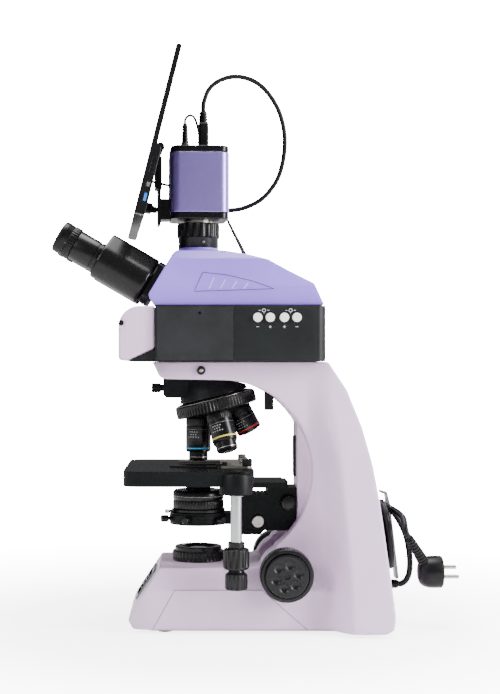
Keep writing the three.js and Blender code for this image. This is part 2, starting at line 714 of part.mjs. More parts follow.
// The monitor's own frame: local Z runs up its front face, local X through its thickness.
const monitorGroup = new THREE.Group();
monitorGroup.position.set(MONITOR.x, 0, MONITOR.z);
monitorGroup.rotation.y = radians(MONITOR.lean);
cameraGroup.add(monitorGroup);
monitorGroup.updateMatrix();
const halfWidth = MONITOR.width / 2;
const pivotLocal = new THREE.Vector3(PIVOT.x, 0, PIVOT.z).applyMatrix4(monitorGroup.matrix.clone().invert());
const caseProfile = [
  [0, 0], [MONITOR.thick - 1, 0], [MONITOR.thick, 1], [MONITOR.thick, MONITOR.thickTo - 4],
  [MONITOR.thin, MONITOR.thickTo], [MONITOR.thin, MONITOR.height], [0, MONITOR.height],
];
const lug = join(
  box(MONITOR.thin - 1, pivotLocal.x + 2, -6.3, 6.3, pivotLocal.z - 4.2, pivotLocal.z + 4.2),
  alongY(rod(4.2, -6.3, 6.3, 20)).translate(pivotLocal.x, 0, pivotLocal.z),
);
add('monitor_case', cut(
  join(plateXZ(caseProfile, -halfWidth, halfWidth), lug),
  box(-1, 1.5, -halfWidth + 4, halfWidth - 4, 6, MONITOR.height - 4),
  alongY(rod(2.3, -20, 20, 16)).translate(pivotLocal.x, 0, pivotLocal.z),
), SATIN_BLACK(), monitorGroup);
add('monitor_screen', box(0.2, 1.2, -halfWidth + 4.3, halfWidth - 4.3, 6.3, MONITOR.height - 4.3),
  GLASS(), monitorGroup);
const MONITOR_PLUG = { y: 40, z: 31 };
add('monitor_video_plug', alongX(join(
  plateXY(roundedRectangle(-6, -10, 6, 10, 2.5, 3), MONITOR.thick + GAP, MONITOR.thick + 8),
  turned([[0, MONITOR.thick + 7], [5, MONITOR.thick + 7], [4, MONITOR.thick + 15], [0, MONITOR.thick + 15]], 20),
)).translate(0, MONITOR_PLUG.y, MONITOR_PLUG.z), RUBBER(), monitorGroup);

// ---------- cords ----------

const VIDEO_ROUTE = [
  [5.8, 8.5, 603.4], [6.2, 8.8, 612], [13, 10.5, 630], [29, 13, 642], [50, 16, 645.3], [73, 21, 637],
  [94, 27, 612], [103.5, 34, 582], [103, 40, 553], [95, 45, 526], [77, 50, 504], [54, 53, 493],
  [30, 54, 490], [2, 53, 488.5], [-20, 48, 486.5], [-32, 41.5, 485.4],
  [-40, 37.4, 486.2], [-49, 36.6, 488.3],
];
add('video_cable', tube(VIDEO_ROUTE, 5.6, 44), RUBBER());

const CAMERA_LEAD_ROUTE = [
  [-15.7, -5.1, 586.4], [-15.4, -4.6, 591], [-11, 1, 596.5], [-6, 10, 597], [-2, 21, 591], [1, 31, 579],
  [4, 38, 560], [10, 40, 535], [18, 41, 512], [29, 42, 492], [39, 46, 470], [50, 52, 448], [57, 58, 431],
  [61, 65, 410], [63, 71.5, 388], [64.5, 77, 366], [66, 79.5, 352], [67, 76, 344], [67.4, 71.2, 341.6],
];
add('camera_lead', tube(CAMERA_LEAD_ROUTE, 3, 60), RUBBER());

const MONITOR_LEAD_ROUTE = [
  [-54.6, 21.6, 521.4], [-50, 22.5, 520], [-42, 27.5, 519], [-33, 36, 518], [-22, 40, 516], [0, 40.8, 513],
  [18, 42.5, 502], [31, 46, 486], [42, 51, 466], [53, 57, 446], [61, 63.5, 430], [66, 70, 410],
  [68.5, 76, 388], [71, 80, 366], [74, 82, 352], [77, 78, 344], [78, 71.2, 341.6],
];
add('monitor_lead', tube(MONITOR_LEAD_ROUTE, 3, 56), RUBBER());

const LEAD_ROUTE = [
  [235.5, 0, 44.5], [238.5, 0, 44.6], [243.4, -0.7, 47.6], [247.4, -2, 55], [248.6, -5, 70], [246, -10, 90],
  [240.5, -16, 108], [233.5, -20, 119], [228.6, -22, 124],
];
add('mains_lead', tube(LEAD_ROUTE, CORD_D, 12), RUBBER());

const hankOutline = new THREE.Shape(
  roundedRectangle(-HANK.halfHeight, -HANK.halfWidth, HANK.halfHeight, HANK.halfWidth, HANK.halfWidth, 8)
    .map(([x, y]) => new THREE.Vector2(x, y)),
);
const innerHeight = HANK.halfHeight - HANK.band;
const innerWidth = HANK.halfWidth - HANK.band;
hankOutline.holes.push(new THREE.Path(
  roundedRectangle(-innerHeight, -innerWidth, innerHeight, innerWidth, innerWidth, 5)
    .map(([x, y]) => new THREE.Vector2(x, y)),
));
const hank = extrude(hankOutline, HANK.depth)
  .translate(0, 0, -HANK.depth / 2)
  .rotateY(radians(90 - HANK.lean))
  .translate(HANK.x, 0, HANK.z);
add('mains_hank', hank, RUBBER());

const TAIL_ROUTE = [
  [226, -24, 134.5], [231, -29, 131.5], [235, -38, 127.5], [236, -47, 121], [236.2, -52.5, 114.5],
  [237.6, -53.6, 109.4], [239.85, -51.84, 105.85],
];
add('mains_tail', tube(TAIL_ROUTE, CORD_D, 8), RUBBER());

const PLUG_YAW = 27; // the plug hangs turned a little about its lead
const plugBody = join(
  alongX(turned([[0, 0], [16.5, 0], [18.6, 3], [18.6, 13], [14, 24], [8, 28], [0, 28]].map(([r, z]) => [r, -z]), 24)),
  turned([[0, 0], [6.5, 0], [4.4, 46], [0, 46]], 16).rotateY(radians(-30)).translate(-19, 0, 8),
  alongX(rod(2.4, -1, 18, 16)).translate(0, 9.5, 0),
  alongX(rod(2.4, -1, 18, 16)).translate(0, -9.5, 0),
).rotateX(radians(PLUG_YAW));
add('mains_plug', plugBody.translate(282, -30, 63), RUBBER());

// ---------- origin at the middle of the footprint ----------

const CORD_NODES = ['mains_lead', 'mains_hank', 'mains_tail', 'mains_plug', 'video_cable', 'camera_lead', 'monitor_lead'];
layout.updateMatrixWorld(true);
const footprint = new THREE.Box3();
layout.traverse((node) => {
  if (node.isMesh && !CORD_NODES.includes(node.name)) footprint.expandByObject(node, true);
});
const middle = footprint.getCenter(new THREE.Vector3());
layout.position.set(-middle.x, -middle.y, 0);

export default microscope;
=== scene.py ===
# Looks of the trinocular microscope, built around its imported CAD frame.
# Shapes are written in millimetres from the optical axis and the table top, as the part itself is,
# and are turned into metres when a piece is made.

import math

import bpy
from mathutils import Matrix, Vector


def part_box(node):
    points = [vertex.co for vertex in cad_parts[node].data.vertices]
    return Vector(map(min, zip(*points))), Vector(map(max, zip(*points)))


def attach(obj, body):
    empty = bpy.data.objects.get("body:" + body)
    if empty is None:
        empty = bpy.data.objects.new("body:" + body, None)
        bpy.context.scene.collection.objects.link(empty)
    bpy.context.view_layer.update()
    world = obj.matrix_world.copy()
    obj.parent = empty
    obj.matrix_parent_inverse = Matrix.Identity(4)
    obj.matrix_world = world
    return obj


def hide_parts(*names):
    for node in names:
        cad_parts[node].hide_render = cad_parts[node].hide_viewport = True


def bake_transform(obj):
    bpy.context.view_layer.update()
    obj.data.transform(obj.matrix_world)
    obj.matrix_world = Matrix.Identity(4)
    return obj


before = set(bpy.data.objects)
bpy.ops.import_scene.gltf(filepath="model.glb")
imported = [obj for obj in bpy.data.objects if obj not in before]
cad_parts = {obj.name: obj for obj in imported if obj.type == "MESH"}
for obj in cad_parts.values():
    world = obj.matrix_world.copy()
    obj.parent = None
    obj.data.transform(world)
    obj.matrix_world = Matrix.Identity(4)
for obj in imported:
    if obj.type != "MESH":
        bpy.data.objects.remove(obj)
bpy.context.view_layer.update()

MM = 0.001
port_low, port_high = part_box("photo_port")
AXIS = Vector(((port_low[0] + port_high[0]) / 2, (port_low[1] + port_high[1]) / 2, 0))

# ---------- driving dimensions, millimetres ----------

ARM_TOP = 306
BASE_TOP = 73
COLUMN_FRONT = 114
COLUMN_HALF = 34
CHANNEL_HALF = 31
ARCH = (26, 181, 104)
FOCUS = (98, 0, 68.5)
SHOULDER_R = 28
EYE_DROP = 18.4
EYE_HALF = 32
STAGE_LOW = 167.5
STAGE_TOP = 184.5
CAMERA_HALF = 34
CAMERA_LOW = 471.7
CAMERA_TOP = 556.5
CAP = 7.4
MONITOR_W = 308
MONITOR_H = 187
CORD_D = 7
SHARP = math.radians(32)


def turn(degrees, axis):
    return Matrix.Rotation(math.radians(degrees), 4, axis)


def shift(x, y, z):
    return Matrix.Translation((x, y, z))


TURRET_FRAME = shift(20.25, 0, 257.9) @ turn(-14, "Y")
EYE_FRAME = shift(-151.6, 0, 467.9) @ turn(-60, "Y")
CAMERA_FRAME = turn(4.07, "Z")
MONITOR_FRAME = CAMERA_FRAME @ shift(-80, 0, 464.8) @ turn(14.1, "Y")
STATUS_FRAME = shift(-61.2, 0, 47.6) @ turn(-57, "Y")
ALONG_Y = turn(-90, "X")
ALONG_X = turn(90, "Y")


def to_metres(point):
    return Vector(point) * MM + AXIS


# ---------- camera, lights and floor ----------

VIEW_DISTANCE = 1650
VIEW_HEIGHT = 300


def make_camera():
    data = bpy.data.cameras.new("camera")
    data.sensor_width = 36
    data.lens = 72.6
    data.shift_x = 0.0793
    data.shift_y = 0.0288
    data.clip_end = 60
    camera = bpy.data.objects.new("camera", data)
    camera.location = to_metres((-4, -VIEW_DISTANCE, VIEW_HEIGHT))
    camera.rotation_euler = (math.radians(90), 0, 0)
    bpy.context.scene.collection.objects.link(camera)
    bpy.context.scene.camera = camera


def area_light(name, place, target, size, power):
    data = bpy.data.lights.new(name, "AREA")
    data.shape = "RECTANGLE"
    data.size, data.size_y = size
    data.energy = power
    light = bpy.data.objects.new(name, data)
    light.location = place
    light.rotation_euler = (Vector(target) - Vector(place)).to_track_quat("-Z", "Y").to_euler()
    bpy.context.scene.collection.objects.link(light)


def make_studio():
    world = bpy.data.worlds.new("studio")
    world.use_nodes = True
    background = world.node_tree.nodes["Background"]
    background.inputs["Color"].default_value = (1, 1, 1, 1)
    rays = world.node_tree.nodes.new("ShaderNodeLightPath")
    bright = world.node_tree.nodes.new("ShaderNodeMapRange")
    bright.inputs["To Min"].default_value = 0.28
    bright.inputs["To Max"].default_value = 30
    world.node_tree.links.new(rays.outputs["Is Camera Ray"], bright.inputs["Value"])
    world.node_tree.links.new(bright.outputs["Result"], background.inputs["Strength"])
    bpy.context.scene.world = world
    area_light("key", (-1.6, -1.3, 1.5), (0, 0, 0.3), (0.7, 1.3), 46)
    area_light("fill", (1.9, -0.9, 1.0), (0, 0, 0.3), (0.6, 1.6), 104)
    area_light("top", (0.0, 0.1, 1.9), (0, 0, 0.3), (1.3, 1.0), 56)
    area_light("rim", (1.3, 1.2, 1.0), (0.1, 0, 0.3), (0.7, 1.4), 22)

    mesh = bpy.data.meshes.new("floor")
    r = 20.0
    mesh.from_pydata([(-r, -r, 0), (r, -r, 0), (r, r, 0), (-r, r, 0)], [], [(0, 1, 2, 3)])
    floor = bpy.data.objects.new("floor", mesh)
    floor.location.z = -0.0003
    mesh.materials.append(studio_white("floor_white"))
    bpy.context.scene.collection.objects.link(floor)


def studio_white(name):
    m = bpy.data.materials.new(name)
    m.use_nodes = True
    shader = m.node_tree.nodes["Principled BSDF"]
    shader.inputs["Base Color"].default_value = (0.94, 0.94, 0.94, 1)
    shader.inputs["Roughness"].default_value = 0.9
    shader.inputs["Specular IOR Level"].default_value = 0.1
    shader.inputs["Emission Color"].default_value = (1, 1, 1, 1)
    nodes = m.node_tree.nodes
    links = m.node_tree.links
    # For camera rays the floor glows from 4 near the microscope up to 30 at 1.6 m. The floor round the
    # microscope is therefore darker, which is painted shade there and also lets the real shadow show. Other
    # rays see a glow of 0.16, lighting the microscope from below.
    place = nodes.new("ShaderNodeTexCoord")
    away = nodes.new("ShaderNodeVectorMath")
    away.operation = "LENGTH"
    far = nodes.new("ShaderNodeMapRange")
    far.inputs["From Min"].default_value = 0.25
    far.inputs["From Max"].default_value = 1.6
    far.inputs["To Min"].default_value = 4
    far.inputs["To Max"].default_value = 30
    rays = nodes.new("ShaderNodeLightPath")
    seen = nodes.new("ShaderNodeMath")
    seen.operation = "MULTIPLY_ADD"
    seen.inputs[2].default_value = 0.16
    links.new(place.outputs["Object"], away.inputs[0])
    links.new(away.outputs["Value"], far.inputs["Value"])
    links.new(rays.outputs["Is Camera Ray"], seen.inputs[0])
    links.new(far.outputs["Result"], seen.inputs[1])
    links.new(seen.outputs["Value"], shader.inputs["Emission Strength"])
    return m


# ---------- materials ----------

MATERIALS = {}


def surface(name, colour, roughness, metallic=0.0, spread=0.06, grain=900, bump=0.1, stretch=(1, 1, 1),
            rough_spread=0.08, coat=0.0, ior=1.5, edge_highlight=0.0, shine=0.5):
    """A painted, moulded or machined surface: mottled colour, uneven gloss, a fine grain and, if asked for,
    a painted edge highlight: a lighter band along its edges.
    """
    m = bpy.data.materials.new(name)
    m.use_nodes = True
    nodes = m.node_tree.nodes
    links = m.node_tree.links
    shader = nodes["Principled BSDF"]
    shader.inputs["Metallic"].default_value = metallic
    shader.inputs["Coat Weight"].default_value = coat
    shader.inputs["IOR"].default_value = ior
    shader.inputs["Specular IOR Level"].default_value = shine

    place = nodes.new("ShaderNodeTexCoord")
    scale = nodes.new("ShaderNodeMapping")
    scale.inputs["Scale"].default_value = stretch
    links.new(place.outputs["Object"], scale.inputs["Vector"])

    mottle = nodes.new("ShaderNodeTexNoise")
    mottle.inputs["Scale"].default_value = 22
    mottle.inputs["Detail"].default_value = 5
    links.new(scale.outputs["Vector"], mottle.inputs["Vector"])
    ramp = nodes.new("ShaderNodeValToRGB")
    ramp.color_ramp.elements[0].position = 0.3
    ramp.color_ramp.elements[1].position = 0.7
    ramp.color_ramp.elements[0].color = [c * (1 - spread) for c in colour] + [1]
    ramp.color_ramp.elements[1].color = [min(1, c * (1 + spread)) for c in colour] + [1]
    links.new(mottle.outputs["Fac"], ramp.inputs["Fac"])
    colour_out = ramp.outputs["Color"]

    # Painted edge highlight: where the rounded normal leaves the true normal, near every edge, the colour
    # is mixed towards a lighter tone.
    if edge_highlight:
        edge = nodes.new("ShaderNodeBevel")
        edge.samples = 4
        edge.inputs["Radius"].default_value = 0.0006
        geometry = nodes.new("ShaderNodeNewGeometry")
        dot = nodes.new("ShaderNodeVectorMath")
        dot.operation = "DOT_PRODUCT"
        links.new(edge.outputs["Normal"], dot.inputs[0])
        links.new(geometry.outputs["Normal"], dot.inputs[1])
        band = nodes.new("ShaderNodeMapRange")
        band.inputs["From Min"].default_value = 0.985
        band.inputs["From Max"].default_value = 0.8
        band.inputs["To Max"].default_value = edge_highlight
        links.new(dot.outputs["Value"], band.inputs["Value"])
        mix = nodes.new("ShaderNodeMix")
        mix.data_type = "RGBA"
        mix.inputs["B"].default_value = [min(1, c * 1.6 + 0.04) for c in colour] + [1]
        links.new(band.outputs["Result"], mix.inputs["Factor"])
        links.new(colour_out, mix.inputs["A"])
        colour_out = mix.outputs["Result"]
    links.new(colour_out, shader.inputs["Base Color"])

    fine = nodes.new("ShaderNodeTexNoise")
    fine.inputs["Scale"].default_value = grain
    fine.inputs["Detail"].default_value = 3
    links.new(scale.outputs["Vector"], fine.inputs["Vector"])
    gloss = nodes.new("ShaderNodeMapRange")
    gloss.inputs["To Min"].default_value = max(0.02, roughness - rough_spread)
    gloss.inputs["To Max"].default_value = min(1, roughness + rough_spread)
    links.new(fine.outputs["Fac"], gloss.inputs["Value"])
    links.new(gloss.outputs["Result"], shader.inputs["Roughness"])
    relief = nodes.new("ShaderNodeBump")
    relief.inputs["Strength"].default_value = bump
    relief.inputs["Distance"].default_value = 0.0002
    links.new(fine.outputs["Fac"], relief.inputs["Height"])
    links.new(relief.outputs["Normal"], shader.inputs["Normal"])
    MATERIALS[name] = m
    return m


def clear_glass():
    m = surface("lens_glass", (0.75, 0.85, 0.92), 0.04, spread=0.03, grain=60, bump=0.0, rough_spread=0.02)
    shader = m.node_tree.nodes["Principled BSDF"]
    shader.inputs["Transmission Weight"].default_value = 0.85
    return m


surface("pearl_paint", (0.69, 0.51, 0.72), 0.34, spread=0.012, grain=1500, bump=0.06, coat=0.15)
surface("lavender_paint", (0.27, 0.17, 0.74), 0.40, spread=0.015, grain=1500, bump=0.07, coat=0.1)
surface("black_texture", (0.0026, 0.0032, 0.0036), 0.44, spread=0.25, grain=1300, bump=0.3,
        rough_spread=0.1, shine=0.12)
surface("block_texture", (0.0065, 0.0075, 0.0082), 0.44, spread=0.25, grain=1300, bump=0.45,
        rough_spread=0.12, shine=0.22)
surface("panel_texture", (0.012, 0.013, 0.0145), 0.42, spread=0.4, grain=1000, bump=0.7, rough_spread=0.14,
        shine=0.3)
# black_paint and black_plastic carry a painted edge highlight: a lighter band along all their edges.
surface("black_paint", (0.0032, 0.0032, 0.0036), 0.27, spread=0.2, grain=1500, bump=0.12, edge_highlight=0.35,
        shine=0.26)
surface("black_plastic", (0.0045, 0.0045, 0.0055), 0.30, spread=0.2, grain=1200, bump=0.15, edge_highlight=0.3,
        shine=0.26)
surface("matt_black", (0.006, 0.006, 0.007), 0.7, spread=0.1, bump=0.05, shine=0.0)
surface("black_rubber", (0.003, 0.003, 0.0035), 0.36, spread=0.2, grain=1600, bump=0.2, shine=0.2)
surface("chrome", (0.40, 0.41, 0.42), 0.13, metallic=1, spread=0.01, grain=300, bump=0.01,
        rough_spread=0.03)
surface("steel", (0.50, 0.48, 0.43), 0.34, metallic=1, spread=0.08, bump=0.12,
        stretch=(0.06, 1, 1), rough_spread=0.1)
surface("anodised_violet", (0.30, 0.225, 0.62), 0.33, metallic=0.8, spread=0.02, grain=1800, bump=0.06,
        stretch=(1, 1, 0.2))
surface("white_plastic", (0.82, 0.83, 0.80), 0.32, spread=0.01, bump=0.03)
surface("grey_paint", (0.14, 0.145, 0.155), 0.3, spread=0.05, grain=1200, bump=0.1)
surface("bezel_grey", (0.55, 0.55, 0.57), 0.4, spread=0.03, bump=0.05)
surface("dark_seam", (0.20, 0.16, 0.21), 0.6, spread=0.05, bump=0.0)
surface("lavender_line", (0.045, 0.03, 0.13), 0.5, spread=0.05, bump=0.0)
surface("pale_line", (0.66, 0.62, 0.92), 0.5, spread=0.03, bump=0.0)
surface("print_grey", (0.26, 0.27, 0.27), 0.5, spread=0.03, bump=0.0)
surface("print_white", (0.72, 0.73, 0.72), 0.5, spread=0.03, bump=0.0)
surface("screen_black", (0.006, 0.007, 0.010), 0.07, spread=0.1, grain=40, bump=0.0, rough_spread=0.02,
        coat=0.4)
surface("blue_band", (0.03, 0.36, 0.68), 0.35, spread=0.04, bump=0.02)
surface("yellow_band", (0.75, 0.62, 0.07), 0.35, spread=0.04, bump=0.02)
surface("red_band", (0.55, 0.03, 0.02), 0.35, spread=0.04, bump=0.02)
surface("port_blue", (0.02, 0.17, 0.55), 0.4, spread=0.04, bump=0.02)
MATERIALS["glass"] = clear_glass()

make_camera()
make_studio()

# ---------- shapes: (points, faces) in millimetres ----------


def moved(shape, matrix):
    points, faces = shape
    return [matrix @ Vector(p) for p in points], faces


def merged(*shapes):
    points, faces = [], []
    for p, f in shapes:
        start = len(points)
        points += [Vector(v) for v in p]
        faces += [tuple(i + start for i in face) for face in f]
    return points, faces


def arc(cx, cy, r, start, end, steps):
    angles = [math.radians(start + (end - start) * i / steps) for i in range(steps + 1)]
    return [(cx + r * math.cos(a), cy + r * math.sin(a)) for a in angles]


def rounded(x0, y0, x1, y1, r, steps=6):
    return (arc(x1 - r, y1 - r, r, 0, 90, steps) + arc(x0 + r, y1 - r, r, 90, 180, steps)
            + arc(x0 + r, y0 + r, r, 180, 270, steps) + arc(x1 - r, y0 + r, r, 270, 360, steps))


def prism(outline, z0, z1):
    """An anticlockwise outline in X and Y, thick along Z."""
    n = len(outline)
    points = [(x, y, z0) for x, y in outline] + [(x, y, z1) for x, y in outline]
    faces = [tuple(reversed(range(n))), tuple(range(n, 2 * n))]
    faces += [(i, (i + 1) % n, n + (i + 1) % n, n + i) for i in range(n)]
    return points, faces


def area_sign(outline):
    return sum(a[0] * b[1] - b[0] * a[1] for a, b in zip(outline, outline[1:] + outline[:1]))


def prism_xz(outline, y0, y1):
    if area_sign(outline) < 0:
        outline = outline[::-1]
    points, faces = prism(outline, -y1, -y0)
    return [(x, -z, y) for x, y, z in points], faces


def prism_yz(outline, x0, x1):
    if area_sign(outline) < 0:
        outline = outline[::-1]
    points, faces = prism(outline, x0, x1)
    return [(z, x, y) for x, y, z in points], faces


def box(x0, x1, y0, y1, z0, z1):
    return prism([(x0, y0), (x1, y0), (x1, y1), (x0, y1)], z0, z1)


def lathe(profile, segments=64, flutes=0, power=1.0):
    """A turned piece about Z. A profile point is (radius, z) or (radius, z, flute depth)."""
    points, rows = [], []
    for entry in profile:
        r, z = entry[0], entry[1]
        depth = entry[2] if len(entry) > 2 else 0
        if r < 1e-6:
            rows.append([len(points)])
            points.append((0, 0, z))
            continue
        row = []
        for i in range(segments):
            angle = 2 * math.pi * i / segments
            groove = (0.5 - 0.5 * math.cos(flutes * angle)) ** power
            radius = r - depth * groove
            row.append(len(points))
            points.append((radius * math.cos(angle), radius * math.sin(angle), z))
        rows.append(row)
    faces = []
    for low, high in zip(rows, rows[1:]):
        for i in range(segments):
            j = (i + 1) % segments
            if len(low) == 1:
                faces.append((low[0], high[j], high[i]))
            elif len(high) == 1:
                faces.append((low[i], low[j], high[0]))
            else:
                faces.append((low[i], low[j], high[j], high[i]))
    if len(rows[0]) > 1 and len(rows[-1]) > 1:
        closed = profile[0][:2] == profile[-1][:2]
        if not closed:
            faces.append(tuple(reversed(rows[0])))
            faces.append(tuple(rows[-1]))
    return points, faces


def rod(r, z0, z1, segments=40, chamfer=0.0):
    if not chamfer:
        return lathe([(0, z0), (r, z0), (r, z1), (0, z1)], segments)
    c = chamfer
    return lathe([(0, z0), (r - c, z0), (r, z0 + c), (r, z1 - c), (r - c, z1), (0, z1)], segments)


def ring(outer, inner, z0, z1, segments=64, chamfer=0.5):
    c = chamfer
    return lathe([(inner, z0), (outer - c, z0), (outer, z0 + c), (outer, z1 - c), (outer - c, z1),
                  (inner, z1),
                  (inner, z0)], segments)


def spline(points, per_span=8):
    """A centripetal curve through given points."""
    p = [Vector(v) for v in points]
    p = [p[0] * 2 - p[1]] + p + [p[-1] * 2 - p[-2]]
    out = []
    for a, b, c, d in zip(p, p[1:], p[2:], p[3:]):
        t1 = (b - a).length ** 0.5
        t2 = t1 + (c - b).length ** 0.5
        t3 = t2 + (d - c).length ** 0.5
        for i in range(per_span):
            t = t1 + (t2 - t1) * i / per_span
            ab = a * ((t1 - t) / t1) + b * (t / t1)
            bc = b * ((t2 - t) / (t2 - t1)) + c * ((t - t1) / (t2 - t1))
            cd = c * ((t3 - t) / (t3 - t2)) + d * ((t - t2) / (t3 - t2))
            abc = ab * ((t2 - t) / t2) + bc * (t / t2)
            bcd = bc * ((t3 - t) / (t3 - t1)) + cd * ((t - t1) / (t3 - t1))
            out.append(abc * ((t2 - t) / (t2 - t1)) + bcd * ((t - t1) / (t2 - t1)))
    out.append(Vector(points[-1]))
    return out


def sweep(path, radius, sides=12):
    """A tube about a path, with flat ends."""
    path = [Vector(p) for p in path]
    points, rows = [], []
    tangent = (path[1] - path[0]).normalized()
    normal = tangent.orthogonal().normalized()
    for i, p in enumerate(path):
        ahead = path[min(i + 1, len(path) - 1)] - path[max(i - 1, 0)]
        t = ahead.normalized()
        normal = (normal - t * normal.dot(t)).normalized()
        side = t.cross(normal)
        rows.append(range(len(points), len(points) + sides))
        for k in range(sides):
            a = 2 * math.pi * k / sides
            points.append(p + normal * (radius * math.cos(a)) + side * (radius * math.sin(a)))
    faces = [tuple(reversed(rows[0])), tuple(rows[-1])]
    for low, high in zip(rows, rows[1:]):
        faces += [(low[k], low[(k + 1) % sides], high[(k + 1) % sides], high[k]) for k in range(sides)]
    return points, faces


# ---------- making pieces ----------


def make(name, shape, material, body="stand", stands_for=(), bevel=0.0, segments=3):
    points, faces = shape
    mesh = bpy.data.meshes.new(name)
    mesh.from_pydata([to_metres(p) for p in points], [], faces)
    mesh.validate()
    mesh.materials.append(MATERIALS[material])
    mesh.shade_smooth()
    mesh.set_sharp_from_angle(angle=SHARP)
    piece = bpy.data.objects.new(name, mesh)
    bpy.context.scene.collection.objects.link(piece)
    if bevel:
        soften(piece, bevel, segments)
    dress(piece, body, stands_for)
    return piece


def dress(piece, body, stands_for=()):
    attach(piece, body)
    if stands_for:
        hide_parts(*stands_for)


def soften(piece, width, segments=3):
    """Round the sharp edges of a piece."""
    modifier = piece.modifiers.new("edges", "BEVEL")
    modifier.width = width * MM
    modifier.segments = segments
    modifier.limit_method = "ANGLE"
    modifier.angle_limit = math.radians(28)
    modifier.use_clamp_overlap = True
    modifier.harden_normals = False


def keep_cad(node, material, bevel=0.0, segments=2):
    """Show a CAD node as it is, with a finished material and eased edges."""
    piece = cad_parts[node]
    for slot in piece.material_slots:
        slot.link = "OBJECT"
        slot.material = MATERIALS[material]
    if bevel:
        soften(piece, bevel, segments)


def solid(shape, label):
    points, faces = shape
    mesh = bpy.data.meshes.new(label)
    mesh.from_pydata([to_metres(p) for p in points], [], faces)
    item = bpy.data.objects.new(label, mesh)
    bpy.context.scene.collection.objects.link(item)
    return item


def add_booleans(piece, steps):
    """Give a piece one Boolean for each (kind, shape), and return the objects that they cut with."""
    tools = []
    for kind, shape in steps:
        tool = solid(shape, piece.name + "_tool")
        tools.append(tool)
        modifier = piece.modifiers.new(kind, "BOOLEAN")
        modifier.operation = kind
        modifier.solver = "EXACT"
        modifier.object = tool
    return tools


def apply_modifiers(piece, tools, material):
    bpy.context.view_layer.update()
    graph = bpy.context.evaluated_depsgraph_get()
    mesh = bpy.data.meshes.new_from_object(piece.evaluated_get(graph))
    piece.modifiers.clear()
    spent = [piece.data] + [tool.data for tool in tools]
    piece.data = mesh
    for old in spent:
        bpy.data.meshes.remove(old)
    mesh.materials.clear()
    mesh.materials.append(MATERIALS[material])
    mesh.shade_smooth()


def cast(name, keep, cuts, adds, voxel, rounds, material, body, stands_for):
    """A cast shell: solids are joined and cut, then its edges are rounded like a casting's."""
    piece = solid(keep[0], name)
    tools = add_booleans(piece, [("INTERSECT", s) for s in keep[1:]] + [("DIFFERENCE", s) for s in cuts]
                         + [("UNION", s) for s in adds])
    remesh = piece.modifiers.new("remesh", "REMESH")
    remesh.mode = "VOXEL"
    remesh.voxel_size = voxel * MM
    smooth = piece.modifiers.new("smooth", "SMOOTH")
    smooth.factor = 0.5
    smooth.iterations = rounds
    apply_modifiers(piece, tools, material)
    dress(piece, body, stands_for)


def carve(name, base, cuts, adds, material, body, stands_for, bevel):
    """A machined piece: solids joined and cut, with eased edges."""
    piece = solid(base, name)
    tools = add_booleans(piece, [("UNION", s) for s in adds] + [("DIFFERENCE", s) for s in cuts])
    apply_modifiers(piece, tools, material)
    piece.data.set_sharp_from_angle(angle=SHARP)
    soften(piece, bevel)
    dress(piece, body, stands_for)


# ---------- cords ----------

LEAD_ROUTE = [
    (235.5, 0, 44.5), (238.5, 0, 44.6), (243.4, -0.7, 47.6), (247.4, -2, 55), (248.6, -5, 70),
    (246, -10, 90),
    (240.5, -16, 108), (233.5, -20, 119), (228.6, -22, 124),
]
TAIL_ROUTE = [
    (226, -24, 134.5), (231, -29, 131.5), (235, -38, 127.5), (236, -47, 121), (236.2, -52.5, 114.5),
    (237.6, -53.6, 109.4), (239.85, -51.84, 105.85),
]
CAMERA_LEAD_ROUTE = [
    (-15.7, -5.1, 586.4), (-15.4, -4.6, 591), (-11, 1, 596.5), (-6, 10, 597), (-2, 21, 591), (1, 31, 579),
    (4, 38, 560), (10, 40, 535), (18, 41, 512), (29, 42, 492), (39, 46, 470), (50, 52, 448), (57, 58, 431),
    (61, 65, 410), (63, 71.5, 388), (64.5, 77, 366), (66, 79.5, 352), (67, 76, 344), (67.4, 71.2, 341.6),
]
MONITOR_LEAD_ROUTE = [
    (-54.6, 21.6, 521.4), (-50, 22.5, 520), (-42, 27.5, 519), (-33, 36, 518), (-22, 40, 516),
    (0, 40.8, 513),
    (18, 42.5, 502), (31, 46, 486), (42, 51, 466), (53, 57, 446), (61, 63.5, 430), (66, 70, 410),
    (68.5, 76, 388), (71, 80, 366), (74, 82, 352), (77, 78, 344), (78, 71.2, 341.6),
]
VIDEO_ROUTE = [
    (5.8, 8.5, 603.4), (6.2, 8.8, 612), (13, 10.5, 630), (29, 13, 642), (50, 16, 645.3), (73, 21, 637),
    (94, 27, 612), (103.5, 34, 582), (103, 40, 553), (95, 45, 526), (77, 50, 504), (54, 53, 493),
    (30, 54, 490), (2, 53, 488.5), (-20, 48, 486.5), (-32, 41.5, 485.4),
    (-40, 37.4, 486.2), (-49, 36.6, 488.3),
]

HANK_HALF_WIDTH = 38.5
HANK_HALF_HEIGHT = 42.5
HANK_TURNS = 6


def hank_route():
    """Six turns about the hanger: three side by side, in two layers, each easing into the next."""
    origin = Vector((217, 0, 104.5))
    up = Vector((-0.1236, 0, 0.9923))
    across = Vector((0, 1, 0))
    out = Vector((0.9923, 0, 0.1236))
    steps = 48
    route = []
    for i in range(HANK_TURNS * steps - 6):
        turns = i / steps
        layer = 3.6 if turns < 3 else -3.6
        lap = turns if turns < 3 else 6 - turns
        inset = CORD_D / 2 + CORD_D * 1.03 * max(0, min(2, lap - 0.5))
        if 2.7 < turns < 3.3:
            layer = 3.6 * math.cos(math.pi * (turns - 2.7) / 0.6)
        angle = 2 * math.pi * turns + math.radians(118)
        width = HANK_HALF_WIDTH - inset
        height = HANK_HALF_HEIGHT - inset
        c, s = math.cos(angle), math.sin(angle)
        bulge = (abs(c) ** 2.3 + abs(s) ** 2.3) ** (-1 / 2.3)
        sag = 0.5 * math.sin(5 * angle + 1.3 * turns)
        flat = across * (width * c * bulge) + up * (height * s * bulge)
        route.append(origin + flat + out * (layer + 0.2 * sag))
    return route


